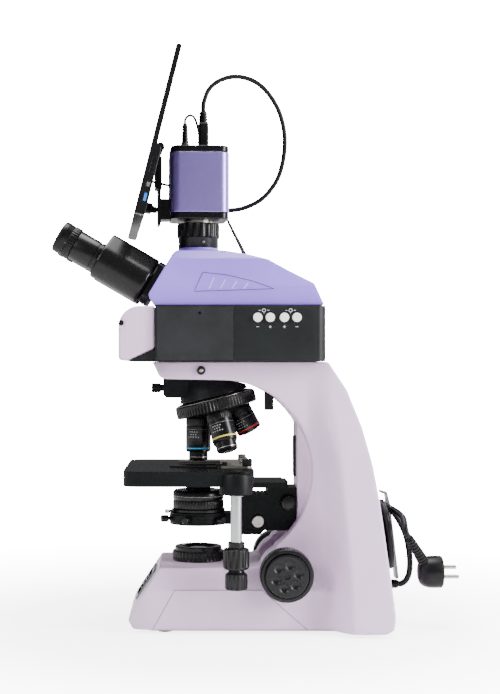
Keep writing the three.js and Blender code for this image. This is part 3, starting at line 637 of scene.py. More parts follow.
def cord_curve(name, route, diameter, material="black_rubber", body="stand"):
    data = bpy.data.curves.new(name, "CURVE")
    data.dimensions = "3D"
    data.bevel_depth = diameter / 2 * MM
    data.bevel_resolution = 4
    data.use_fill_caps = True
    line = data.splines.new("POLY")
    line.points.add(len(route) - 1)
    for knot, p in zip(line.points, route):
        knot.co = (*to_metres(p), 1)
    data.materials.append(MATERIALS[material])
    cord = bpy.data.objects.new(name, data)
    bpy.context.scene.collection.objects.link(cord)
    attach(cord, body)
    return cord


def make_cords():
    turns = hank_route()
    lead = LEAD_ROUTE[:-2] + [tuple((Vector(LEAD_ROUTE[-2]) + turns[0]) / 2 + Vector((3, 0, 0)))]
    tail = [tuple((Vector(TAIL_ROUTE[1]) + turns[-1]) / 2 + Vector((1, 0, 1)))] + TAIL_ROUTE[2:]
    main = spline(lead + [tuple(p) for p in turns[::4]] + [tuple(turns[-1])] + tail, 8)
    mains = cord_curve("mains_cord", main, CORD_D)
    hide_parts("mains_lead", "mains_hank", "mains_tail")

    route = spline(CAMERA_LEAD_ROUTE, 8)
    lead = cord_curve("camera_power_lead", route, 3)
    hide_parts("camera_lead")

    for name, node, points, d in (("monitor_power_lead", "monitor_lead", MONITOR_LEAD_ROUTE, 3),
                                  ("video_cord", "video_cable", VIDEO_ROUTE, 5.6)):
        route = spline(points, 8)
        piece = make(name, sweep(route, d / 2, 16), "black_rubber")
        piece.parent = None
        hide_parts(node)
        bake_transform(piece)


# ---------- the casting ----------

PLAN = [
    (0, -84, 62, 20, 78, 140, 108), (49, -84, 60, 20, 77, 139, 105), (74, -84, 50, 22, 67, 137, 102),
    (112, -84, 45, 24, 60, 134, 97), (200, -70, 38, 26, 56, 128, 80), (262, -60, 34, 24, 53, 120, 60),
    (310, -56, 32, 22, 51, 118, 52),
]


def plan_at(z):
    for low, high in zip(PLAN, PLAN[1:]):
        if z <= high[0]:
            t = (z - low[0]) / (high[0] - low[0])
            return [a + (b - a) * t for a, b in zip(low, high)]
    return PLAN[-1]


def cheek(x, z):
    """How far out the casting's side is, at one place along it and one height."""
    _, front, nose, corner, half, break_x, rear = plan_at(z)
    if x <= break_x:
        return half
    share = min(1, (x - break_x) / 34)
    return half + (rear - half) * share * share * (3 - 2 * share)


def plan_ring(z):
    _, front, nose, corner, half, break_x, rear = plan_at(z)
    start, pull, end = (front, nose - 6), (front + 0.12 * corner,
                                           half - 0.10 * corner), (front + corner + 12, half)
    side = []
    for i in range(9):
        t = i / 8
        side.append([(1 - t) ** 2 * a + 2 * t * (1 - t) * b + t * t * c for a, b,
                     c in zip(start, pull, end)])
    side += [[break_x + 34 * i / 16, cheek(break_x + 34 * i / 16, z)] for i in range(17)] + [[226, rear]]
    return [(x, -y, z) for x, y in side] + [(x, y, z) for x, y in reversed(side)]


def loft(rings):
    n = len(rings[0])
    points = [p for row in rings for p in row]
    faces = [tuple(reversed(range(n))), tuple(range(len(points) - n, len(points)))]
    for r in range(len(rings) - 1):
        for i in range(n):
            j = (i + 1) % n
            faces.append((r * n + i, r * n + j, (r + 1) * n + j, (r + 1) * n + i))
    return points, faces


def side_profile():
    cx, cz, r = ARCH
    return [
        (-74, 4), (208, 4), (216.5, 9), (218.3, 23.8), (211.7, 76.4), (202.5, 150), (195.9, 189.6),
        (185.4, 231.6), (169.6, 273.7), (148.6, ARM_TOP), (-53.6, ARM_TOP), (-45, 289), (-39, 286),
        (36, 284.6),
    ] + arc(cx, cz, r, 78, -54, 60) + arc(FOCUS[0], FOCUS[2], SHOULDER_R, 110, 165, 24) + [
        (56, BASE_TOP), (-44, BASE_TOP), (-76, 24), (-80, 13),
    ]


def make_casting():
    heights = [0, 24, 49, 56, 62, 68, 74, 86, 98, 112, 140, 170, 200, 230, 262, 290, 312]
    channel = box(40, COLUMN_FRONT, -CHANNEL_HALF, CHANNEL_HALF, BASE_TOP + 1, 210)
    # A black strip on the column's front, where it has a slot: painted shade for the dark inside of the
    # slot.
    make("column_front_shade_strip", box(111.5, 114.5, -12, 12, 172, 219), "black_paint", bevel=0.8)
    column = box(COLUMN_FRONT, 140, -COLUMN_HALF, COLUMN_HALF, 80, 284)
    cast("microscope_casting", [prism_xz(side_profile(), -125, 125), loft([plan_ring(z) for z in heights])],
         [channel], [column], 1.3, 14, "pearl_paint", "stand", ["stand_casting"])
    # A second thin black strip in the same place: more painted shade for the slot.
    make("column_front_shade_inlay", box(COLUMN_FRONT - 0.6, COLUMN_FRONT + 0.4, -10, 10, 172, 220), "black_plastic",
         bevel=0.4)


def seam(name, path, radius=0.4, material="dark_seam", body="stand"):
    make(name, sweep(path, radius, 8), material, body)


def on_cheek(x, z, side=-1, lift=0.0):
    return (x, side * (cheek(x, z) + lift), z)


def make_base_details():
    for side, word in ((-1, "right"), (1, "left")):
        rise = [on_cheek(-51 + 24 * t / 6, 6 + 43 * t / 6, side) for t in range(7)]
        run = [on_cheek(-27 + 98 * t / 12, 49, side) for t in range(1, 13)]
        fall = [on_cheek(71 + 51 * t / 8, 49 - 44 * t / 8, side) for t in range(1, 9)]
        seam("side_panel_seam_" + word, rise + run + fall, 0.38)
    keep_cad("base_plate", "steel", 0.4)
    for node in ("foot_front_right", "foot_front_left", "foot_rear_right", "foot_rear_left"):
        keep_cad(node, "black_rubber", 0.4)

    make("status_plate", moved(prism(rounded(-20.5, -31.5, 20.5, 31.5, 5), -2.2, 1.4), STATUS_FRAME),
         "grey_paint",
         stands_for=["status_panel"], bevel=0.6)
    make("status_window", moved(prism(rounded(-15, -26, 15, 26, 2), 1.3, 1.8), STATUS_FRAME), "matt_black")
    for row in range(4):
        mark = prism(rounded(-8 + row * 5, -18, -6.4 + row * 5, -18 + 9 * (row + 1), 0.6), 1.75, 1.95)
        make(f"status_bar_{row + 1}", moved(mark, STATUS_FRAME), "print_white")

    profile = [(20, 73.3), (29.4, 73.3), (30.2, 74.2), (30.2, 75, 0.2), (30.5, 76, 1.1), (30.5, 83, 1.1),
               (30.2, 84, 0.2), (29.2, 84.9), (27.5, 85.2), (27.4, 89),
               (26.6, 90), (20.8, 90), (20, 89)]
    make("field_iris_knurl", lathe(profile + [profile[0]], 288, 40), "black_paint", "field_ring",
         stands_for=["field_iris_ring"])
    make("field_lens_glass", lathe([(0, 60), (18.4, 60), (18.4, 83), (15, 86.4), (9, 88.1), (0, 88.6)],
                                   64), "glass",
         stands_for=["field_lens"])
    make("field_lens_rim", ring(19.4, 17.2, 80, 88.4, 64, 0.5), "black_paint")


def dimpled_disc(radius, z0, z1, dimples, at, size, depth, hole):
    """A turned disc whose top has a ring of shallow finger dimples and a hole in the middle."""
    segments, rings = 120, 34
    points = [(0, 0, z1 - 3.5)]
    rows = []
    for i in range(rings + 1):
        r = hole * 0.98 if i == 0 else hole + (radius - 1.2 - hole) * (i - 1) / (rings - 1)
        row = []
        for k in range(segments):
            a = 2 * math.pi * k / segments
            x, y = r * math.cos(a), r * math.sin(a)
            z = z1 if i else z1 - 3.5
            for d in range(dimples):
                b = 2 * math.pi * d / dimples + math.radians(15)
                away = math.hypot(x - at * math.cos(b), y - at * math.sin(b)) / size
                if away < 1 and i:
                    z = z1 - depth * (1 - away * away) ** 0.5
            row.append(len(points))
            points.append((x, y, z))
        rows.append(row)
    for r, z in ((radius - 0.4, z1 - 0.35), (radius, z1 - 1.2), (radius, z0 + 0.6), (radius - 0.6, z0)):
        rows.append([len(points) + k for k in range(segments)])
        points += [(r * math.cos(2 * math.pi * k / segments), r * math.sin(2 * math.pi * k / segments), z)
                   for k in range(segments)]
    points.append((0, 0, z0))
    faces = []
    for k in range(segments):
        j = (k + 1) % segments
        faces.append((0, rows[0][k], rows[0][j]))
        faces.append((rows[-1][j], rows[-1][k], len(points) - 1))
        for near, far in zip(rows, rows[1:]):
            faces.append((near[k], far[k], far[j], near[j]))
    return points, faces


def make_focus_knobs():
    coarse = [(8.2, 79.6), (28.5, 79.6), (29.6, 80.6), (29.6, 82), (30, 82.6, 0.8), (30, 100.5, 0.8),
              (29.6, 101.4),
              (28.6, 102.7), (27.4, 103), (25.6, 103), (25.2, 102.4), (25.2, 97.2), (8.2, 97.2)]
    for side, word in ((1, "left"), (-1, "right")):
        frame_y = shift(FOCUS[0], 0, FOCUS[2]) @ turn(-90 * side, "X")
        make("coarse_focus_" + word, moved(lathe(coarse + [coarse[0]], 432, 72), frame_y), "black_plastic",
             "coarse_knobs", stands_for=["coarse_knob_" + word])
        # A thin grey ring at the inner rim of each coarse knob: a painted rim highlight on the black knob.
        make("coarse_focus_rim_highlight_" + word, moved(ring(29.75, 29.2, 81.0, 81.5, 72, 0.05), frame_y),
             "grey_paint",
             "coarse_knobs")
        make("fine_focus_" + word, moved(dimpled_disc(24, 97.4, 108, 6, 12.8, 5.6, 2.2, 3.4), frame_y),
             "black_plastic", "fine_knobs", stands_for=["fine_knob_" + word])
        make("focus_axle_" + word, moved(rod(7.6, 60, 90), frame_y), "steel", "coarse_knobs")


def make_rear():
    profile = [(0, 208), (6, 208), (6, 217)]
    for i in range(5):
        profile += [(5.9 - 0.15 * i, 219 + 3 * i), (5.9 - 0.15 * i, 220.8 + 3 * i), (4.7, 221.2 + 3 * i),
                    (4.7, 221.8 + 3 * i)]
    profile += [(4.9, 234.2), (4.6, 235), (0, 235)]
    make("cord_gland_boot", moved(lathe(profile, 40), shift(0, 0, 44.5) @ ALONG_X), "black_rubber",
         stands_for=["cord_gland"])
    nut = lathe([(0, 215.5), (9.6, 215.5), (9.6, 219.4), (8.8, 220), (0, 220)], 6)
    make("cord_gland_nut", moved(nut, shift(0, 0, 44.5) @ ALONG_X), "black_plastic", bevel=0.5)
    keep_cad("cord_hanger", "grey_paint", 0.9, 3)


# ---------- nosepiece and objectives ----------


def on_turret(quarter):
    return TURRET_FRAME @ shift(0, 0, 83.7) @ turn(90 * quarter, "Z") @ turn(14, "Y")


def make_nosepiece():
    profile = [(0, -6), (41.5, -6), (42, -9), (46, -9), (47.2, -8.4), (47.8, -7.6), (48, -6.8, 1.5),
               (48, 3.4, 1.5),
               (47.7, 4.3), (46.8, 5.3), (45, 6.2), (41, 7.6), (0, 7.9)]
    make("turret_disc", moved(lathe(profile, 456, 76, 1.5), TURRET_FRAME), "black_paint", "turret",
         stands_for=["nosepiece_turret"])
    make("turret_edge", moved(ring(46.9, 40, 5.35, 5.6, 96, 0.05), TURRET_FRAME), "steel", "turret")
    make("turret_dome", moved(lathe([(0, -22), (9, -21.4), (20, -17), (29, -11), (33, -5.8), (0, -5.8)],
                                    96),
                              TURRET_FRAME), "black_paint", "turret")
    for quarter in range(4):
        boss = lathe([(0, -84), (14.6, -84), (14.6, -94), (13.6, -95.6), (13.2, -96.1), (0, -96.1)][::-1],
                     64)
        make(f"turret_boss_{quarter + 1}", moved(boss, on_turret(quarter)), "black_paint", "turret")
        make(f"turret_thread_{quarter + 1}", moved(ring(13.9, 12, -96.9, -96.0, 64, 0.1),
                                                   on_turret(quarter)),
             "black_paint", "turret")
    keep_cad("nosepiece_mount", "black_texture", 0.9, 3)
    make("mount_ring", moved(ring(41.2, 36, 8.4, 9.6, 96, 0.3), TURRET_FRAME), "black_paint")
    knob = lathe([(0, 44.5), (4.6, 44.5), (5.5, 45.4, 0.4), (5.5, 54, 0.4), (4.7, 55.1), (0, 55.1)], 120,
                 20)
    make("nosepiece_lock_knob", moved(knob, shift(0, 0, 275.5) @ turn(-90, "Y")), "black_plastic")
    tab = merged(box(77, 87, -30, -10, 250, 272), box(77, 80, -30, -10, 268, 283))
    make("arm_tab", tab, "black_paint", bevel=1.0)
    screw = lathe([(0, 47), (3.6, 47), (3.6, 49), (5, 49.6), (5.2, 50.4, 0.4), (5.2, 54.4, 0.4),
                   (4.4, 55.2), (0, 55.2)],
                  96, 16)
    make("nose_side_screw", moved(screw, shift(3, 0, 296) @ turn(90, "X")), "black_plastic")
    centre = lathe([(0, 55), (2.2, 55), (2.2, 56), (1.6, 56.5), (0, 56.5)], 32)
    make("nose_side_screw_centre", moved(centre, shift(3, 0, 296) @ turn(90, "X")), "steel")


OBJECTIVES = [
    ("objective_40x", 138.8, 11.3, 149.3, "blue_band"),
    ("objective_10x", 133, 12.4, 145.5, "yellow_band"),
    ("objective_4x", 129.5, 12, 131, "red_band"),
    ("objective_100x", 138.8, 10.6, 149.3, "print_white"),
]


def make_objectives():
    for quarter, (name, barrel, nose, end, colour) in enumerate(OBJECTIVES):
        at = on_turret(quarter)
        grip = [(0, -96.6), (13, -96.6), (13.4, -97.5), (14.5, -99.8), (14.75, -100.8, 0.5),
                (14.75, -106.5, 0.5),
                (14.4, -107.4), (14.2, -108), (14.75, -108.7), (14.75, 2 - barrel), (14, -barrel),
                (nose, -0.2 - barrel),
                (nose, 2.5 - end), (nose - 1.4, 0.8 - end), (nose - 4, -end), (0, 0.1 - end)]
        make(name + "_barrel", moved(lathe(grip[::-1], 240, 40), at), "black_paint", "turret",
             stands_for=[name])
        make(name + "_ring", moved(ring(14.95, 14, 3.4 - barrel, 5.2 - barrel, 72, 0.2), at), colour,
             "turret")
        make(name + "_line", moved(ring(14.85, 14, -112.2, -111.9, 72, 0.1), at), "print_grey", "turret")
        make(name + "_nose", moved(ring(nose + 0.1, nose - 3, 4.2 - end, 5.2 - end, 64, 0.2), at), "steel",
             "turret")
        make(name + "_lens", moved(rod(nose - 5.5, -0.2 - end, 1 - end, 40), at), "glass", "turret")
        for row, dashes in enumerate((4, 3, 5)):
            strips = [arc_patch(14.86, 6, 114.5 + 3 * row, 115.8 + 3 * row, 234 - 6 * dashes + 12 * k)
                      for k in range(dashes)]
            strips = [moved(strip, at @ turn(18 - 90 * quarter, "Z")) for strip in strips]
            make(f"{name}_mark_{row + 1}", merged(*strips), "print_grey", "turret")


def arc_patch(radius, width, low, high, middle):
    """A short curved strip printed round a barrel; low and high are measured down the axis."""
    half = width / 2
    outer = arc(0, 0, radius, middle - half, middle + half, 10)
    inner = arc(0, 0, radius - 0.4, middle + half, middle - half, 10)
    return prism(outer + inner, -high, -low)


# ---------- stage ----------

COAX = shift(41.8, -98, 0)


def make_stage():
    slot = arc(30, 0, 15, -90, 90, 24) + arc(-8, 0, 15, 90, 270, 24)
    boss = moved(lathe([(0, 158.5), (18, 158.5), (19, 159.5), (19, 179.5), (18, 181.4), (16.5, 182),
                        (0, 182)], 72), COAX)
    carve("stage_table", prism(rounded(-84, -108, 62, 108, 18, 14), STAGE_LOW, STAGE_TOP),
          [prism(slot, STAGE_LOW - 1, STAGE_TOP + 1)],
          [boss], "black_texture", "stage_top", ["stage_plate"], 1.1)
    make("stage_groove", prism_xz([(-84.15, 175.4), (-84.15, 176.2), (-83, 176.2), (-83, 175.4)], -88, 88),
         "black_plastic", "stage_top")
    for node, body in (("slide_holder", "holder"), ("spring_finger", "finger")):
        keep_cad(node, "steel" if node == "slide_holder" else "black_paint", 0.3)
    thumb = [(0, 187.4), (4.4, 187.4), (5, 188, 0.4), (5, 193, 0.4), (4.2, 194), (0, 194.3)]
    for y, word in ((0, "middle"), (54, "left")):
        make("holder_thumbscrew_" + word, moved(lathe(thumb, 96, 16), shift(53, y, 0)), "steel", "holder")
    make("holder_block", prism(rounded(50, -66, 61, -50, 2), 187.4, 195.5), "black_paint",
         "holder", bevel=0.8)
    shaft = [(0, 60), (3, 60), (3, 99.3), (6.5, 99.3), (6.5, 158.4), (0, 158.4)]
    make("stage_drive_washer", moved(ring(8.4, 6.3, 156.6, 158.6, 64, 0.4), COAX), "steel", "stage_top")
    make("stage_drive_shaft", moved(lathe(shaft, 64), COAX), "chrome", "stage_top",
         stands_for=["coaxial_shaft"])
    make("stage_drive_collar", moved(ring(9.2, 6, 99.4, 106, 64, 0.6), COAX), "black_paint", "stage_top")
    upper = [(3.3, 75.6), (12, 75.6), (13.6, 76.4), (14.3, 77.8), (14.5, 79, 1.1), (14.5, 96.4, 1.1),
             (14.1, 97.8),
             (13, 99), (3.3, 99)]
    lower = [(0, 53), (10.4, 53), (12, 53.8), (12.5, 55, 0.9), (12.5, 69, 0.9), (12, 70.4), (9, 72.8),
             (8.5, 75.2),
             (3.3, 75.2), (0, 75.2)]
    make("stage_knob_upper", moved(lathe(upper + [upper[0]], 168, 14, 1.6), COAX), "black_plastic",
         "upper_drive",
         stands_for=["upper_stage_knob"])
    make("stage_knob_lower", moved(lathe(lower, 168, 14, 1.6), COAX), "black_plastic", "lower_drive",
         stands_for=["lower_stage_knob"])


def make_bracket_and_condenser():
    keep_cad("stage_bracket", "black_texture", 0.9, 3)
    head = [(0, 0), (6.2, 0), (7, 0.8), (7, 4.6), (6.2, 5.4), (3.2, 5.4), (3.2, 3.6), (0, 3.6)]
    make("bracket_screw", moved(lathe(head, 48), shift(69, -27, 121) @ turn(90, "X")), "steel",
         "stage_carriage")
    knob = [(0, 27.3), (7.2, 27.3), (8.2, 28, 0.6), (8.5, 29, 0.6), (8.5, 36.4, 0.6), (7.6, 37.6),
            (6.4, 38), (0, 38)]
    make("condenser_height_knob", moved(lathe(knob, 144, 24), shift(103.5, 0, 143) @ turn(90, "X")),
         "black_plastic",
         "condenser_pinion", stands_for=["condenser_knob"])
    keep_cad("condenser_carrier", "black_texture", 0.7, 3)
    make("carrier_ring", ring(34.0, 24, 117, 128.6, 96, 1.4), "black_texture", "condenser_unit")
    screw = lathe([(0, 31), (2.2, 31), (2.2, 37), (4.2, 37.4), (4.2, 44.6, 0.4), (3.4, 45.4), (0, 45.4)],
                  60, 12)
    for angle in (196, 250, 310):
        make(f"centring_screw_{angle}", moved(screw, turn(angle, "Z") @ shift(0, 0, 122.8) @ ALONG_X),
             "black_plastic",
             "condenser_unit")
    body = [(0, 117), (23.7, 117), (23.7, 130), (19.6, 130), (19.6, 134.3), (28.6, 134.3), (29.6, 135),
            (30, 136.2, 0.5), (30, 142.4, 0.5), (29.6, 143.4), (29, 144), (29.6, 144.8), (30, 145.8),
            (30, 152.6),
            (29.2, 154.6), (27.4, 156), (16, 156.4), (14.6, 157.4), (13, 161.5), (11, 162.4), (0, 162.5)]
    make("condenser_body", lathe(body, 288, 48), "black_paint", "condenser_unit", stands_for=["condenser"])
    make("condenser_lens", lathe([(0, 161), (10.4, 161), (10.4, 162.4), (6, 163), (0, 163.2)], 48), "glass",
         "condenser_unit")
    make("condenser_line", ring(30.1, 28, 148.7, 149.0, 96, 0.1), "bezel_grey", "condenser_unit")
    lever = moved(prism(rounded(-44, -2.4, -28, 2.4, 2.2), 130.6, 133.6), turn(28, "Z"))
    make("condenser_iris", merged(ring(31.5, 20, 130.3, 134, 96, 0.6), lever), "black_paint",
         "condenser_iris",
         stands_for=["condenser_iris_ring"])
    tip = moved(rod(2.6, 129.9, 134.3, 32, 0.6), turn(28, "Z") @ shift(-41.4, 0, 0))
    make("condenser_iris_tip", tip, "steel", "condenser_iris")


# ---------- fluorescence illuminator ----------

BUTTONS = [
    ("reflected_light_minus_button", 66.9, "button_1"), ("reflected_light_plus_button", 81, "button_2"),
    ("transmitted_light_plus_button", 97, "button_4"),
    ("transmitted_light_minus_button", 111.2, "button_3"),
]
BUTTON_Z = 356
BUTTON_R = 5.25
FACE = 70


def make_illuminator():
    c = 12
    plan = ([(-49, -FACE)] + arc(144.6 - c, -FACE + c, c, -90, 0, 12) + arc(144.6 - c, FACE - c, c, 0, 90,
                                                                            12)
            + [(-49, FACE)])
    chin = prism_xz([(-48, 306.4), (-48, 320.7), (-79.7, 306.4)], -66, 66)
    holes = [moved(rod(BUTTON_R + 0.5, -74, -62), shift(x, 0, BUTTON_Z) @ ALONG_Y) for _, x, _ in BUTTONS]
    seams = [box(39.6, 40.4, -FACE - 1, -FACE + 0.8, 300, 372),
             box(39.6, 40.4, FACE - 0.8, FACE + 1, 300, 372),
             box(39.6, 40.4, -FACE - 1, FACE + 1, 368.8, 372)]
    steps = [box(40.4, 150, -FACE - 1, -FACE + 0.5, 300, 372),
             box(40.4, 150, FACE - 0.5, FACE + 1, 300, 372)]
    holes.append(moved(rod(1.6, -72, -66, 24), shift(1.5, 0, 361) @ ALONG_Y))
    carve("illuminator_box", prism(plan, 306.4, 369.4), seams + steps + holes, [chin], "block_texture",
          "stand",
          ["illuminator_housing"], 1.0)
    for side, word in ((-1, "right"), (1, "left")):
        panel = box(-47, 39.2, *sorted((side * (FACE - 0.5), side * (FACE + 0.15))), 308, 368.2)
        make("illuminator_panel_" + word, panel, "panel_texture", bevel=0.12)
    # A flat black disc on the near panel, where the covered screw hole is: painted shade for the dark
    # inside of the hole.
    make("illuminator_hole_shade_disc", moved(rod(1.7, FACE, FACE + 0.25, 24),
                                         shift(1.5, 0, 361) @ turn(90, "X")),
         "matt_black")
    back = ring(BUTTON_R + 0.6, BUTTON_R - 1, 66.4, 69.3, 48, 0.2)
    for _, x, _ in BUTTONS:
        make(f"button_well_{round(x)}", moved(back, shift(x, 0, BUTTON_Z) @ turn(90, "X")), "black_plastic")
    cap = [(-49.3, 321.1), (-49.3, 369.4)] + arc(-67, 345.4, 24, 90, 180, 20) + arc(-86, 312.2, 5, 180,
                                                                                    260, 8) + [
        (-80.3, 307.1)]
    make("illuminator_nose", prism_xz(cap, -66, 66), "pearl_paint", stands_for=["illuminator_front_cap"],
         bevel=3.2,
         segments=6)
    stub = [(0, 65.5), (2.4, 65.5), (3.3, 66.4, 0.25), (3.3, 68, 0.25), (2.8, 68.6), (0, 68.6)]
    make("filter_lever_knob", moved(lathe(stub, 60, 12), shift(-87.6, 0, 350) @ turn(90, "X")),
         "black_plastic")

    dome = [(0, 64), (BUTTON_R, 64), (BUTTON_R, 71.2), (BUTTON_R - 0.35, 71.9), (BUTTON_R - 1.1, 72.2),
            (3, 72.05),
            (0, 71.95)]
    for name, x, body in BUTTONS:
        make(name + "_cap", moved(lathe(dome, 48), shift(x, 0, BUTTON_Z) @ turn(90, "X")), "white_plastic",
             body,
             stands_for=[name])
    for i, (_, x, _) in enumerate(BUTTONS):
        mark = box(x - 1.5, x + 1.5, -FACE + 0.25, -FACE + 0.45, 345.2, 345.7)
        if i in (1, 2):
            mark = merged(mark, box(x - 0.25, x + 0.25, -FACE + 0.25, -FACE + 0.44, 344, 347))
        make(f"button_sign_{i + 1}", mark, "print_white")
    for k, x in enumerate((74, 104)):
        sign = moved(ring(2.1, 1.6, -0.25, -0.05, 32, 0.02), shift(x, -FACE + 0.3, 364) @ turn(90, "X"))
        rays = box(x - 0.2, x + 0.2, -FACE + 0.25, -FACE + 0.44, 360.4, 361.4)
        bar = box(x - 6, x - 3.4, -FACE + 0.25, -FACE + 0.44, 363.8, 364.2)
        make(f"lamp_sign_{k + 1}", merged(sign, rays, bar, moved(bar, shift(9.4, 0, 0))), "print_white")


# ---------- trinocular head ----------

HEAD_SIDE = [
    (-50, 369.8), (141, 369.8), (143, 371.5), (132, 395.5), (102, 411), (80, 423.5), (56, 430),
    (28, 434.5), (-25, 434.5), (-29, 431.5), (-57, 383), (-56, 378),
]
HEAD_FRONT = [(-61, 369.8), (61, 369.8), (60, 392), (50, 424), (40, 436), (-40, 436), (-50, 424),
              (-60, 392)]


def head_half(z):
    """Half width of the head at one height."""
    right = HEAD_FRONT[1:5]
    for (y0, z0), (y1, z1) in zip(right, right[1:]):
        if z <= z1:
            return y0 + (y1 - y0) * (z - z0) / (z1 - z0)
    return right[-1][0]


def make_head():
    cast("head_shell", [prism_xz(HEAD_SIDE, -70, 70), prism_yz(HEAD_FRONT, -70, 150)], [], [], 1.1, 9,
         "lavender_paint", "stand", ["head_housing"])
    neck = [(0, 425), (27, 425), (27, 433.2), (26.2, 434.6), (23.6, 437.5), (23.6, 439.3), (0, 439.3)]
    make("photo_tube_base", lathe(neck, 96), "lavender_paint", bevel=0.3)
    plate = moved(prism(rounded(-38, -46, 14, 46, 10, 10), -126, -116.5), EYE_FRAME)
    make("binocular_face_plate", plate, "black_paint", bevel=1.2)
    make("hinge_pin", moved(rod(5, -125, -56, 40, 0.6), EYE_FRAME), "steel")
    for side, word in ((-1, "right"), (1, "left")):
        def at(x, z, lift=0.05):
            return (x, side * (head_half(z) + lift), z)
        outline = [(5, 408), (32, 405), (61, 398), (86, 389), (40, 387.4), (-5, 386)]
        path = [at(x + (u - x) * t / 6, z + (v - z) * t / 6)
                for (x, z), (u, v) in zip(outline, outline[1:] + outline[:1]) for t in range(6)]
        seam("head_wedge_" + word, path + path[:1], 0.4, "lavender_line")
        for k in range(4):
            x = 12 + 13 * k
            line = [at(x + 5.5 * t / 6, 389 + (13 - 2.2 * k) * t / 6) for t in range(7)]
            seam(f"head_line_{k + 1}_{word}", line, 0.35, "pale_line")


def around(c1, r1, c2, r2):
    """An outline round two circles."""
    dx, dy = c2[0] - c1[0], c2[1] - c1[1]
    heading = math.degrees(math.atan2(dy, dx))
    spread = math.degrees(math.acos((r1 - r2) / math.hypot(dx, dy)))
    a, b = heading + spread, heading - spread
    return arc(*c1, r1, a, b + 360, 36) + arc(*c2, r2, b, a, 20)


def make_prism_arm(side, low, high, word):
    eye = (-EYE_DROP, EYE_HALF * side)
    shoulder = (3, 24 * side)
    block = moved(prism(around(eye, 23.4, shoulder, 12), -115, -53), EYE_FRAME)
    link = moved(prism(around(shoulder, 12, (0, 0), 11), low, high), EYE_FRAME)
    other = (-116, -83.7) if side < 0 else (-84.3, -52)
    cuts = [moved(rod(11.5, *other, 48), EYE_FRAME), moved(rod(5.3, -120, -50, 48), EYE_FRAME)]
    cast("prism_box_" + word, [block], cuts, [link], 1.0, 30, "black_paint", word + "_prism",
         ["prism_arm_" + word])
    tube = [(12.2, -54), (17.8, -54), (17.8, -49.5), (16.9, -49), (16.9, -47.6), (17.8, -47), (17.8, -22.4),
            (17.2, -21.4), (12.2, -21.4), (12.2, -54)]
    seat = EYE_FRAME @ shift(*eye, 0)
    make("eye_tube_" + word, moved(lathe(tube, 72), seat), "black_paint", word + "_prism")
    ocular = [(0, -60), (11.6, -60), (11.6, -21), (18.6, -21), (19.15, -20.2, 0.5), (19.15, -13.6, 0.5),
              (18.6, -13),
              (18.1, -12.6), (18.4, -12), (18.6, -8), (18.9, -7.4), (18.9, -2.6), (18.2, -0.8), (16.6, 0),
              (14.6, -0.3),
              (13.4, -1.6), (11.4, -5), (0, -5.2)]
    make("ocular_" + word, moved(lathe(ocular, 216, 36), seat), "black_rubber", word + "_eyepiece",
         stands_for=["eyepiece_" + word])
    make("ocular_glass_" + word, moved(lathe([(0, -5.3), (10.4, -5.3), (10, -4.6), (5, -3.9), (0, -3.7)],
                                             48), seat),
         "glass", word + "_eyepiece")
    ticks = [moved(arc_patch(18.35, 1.2, 11.2, 12.0 if k % 3 else 12.4, 200 + 9 * k),
                   seat) for k in range(-6, 7)]
    make("dioptre_scale_" + word, merged(*ticks), "print_white", word + "_eyepiece")


# ---------- camera and monitor ----------


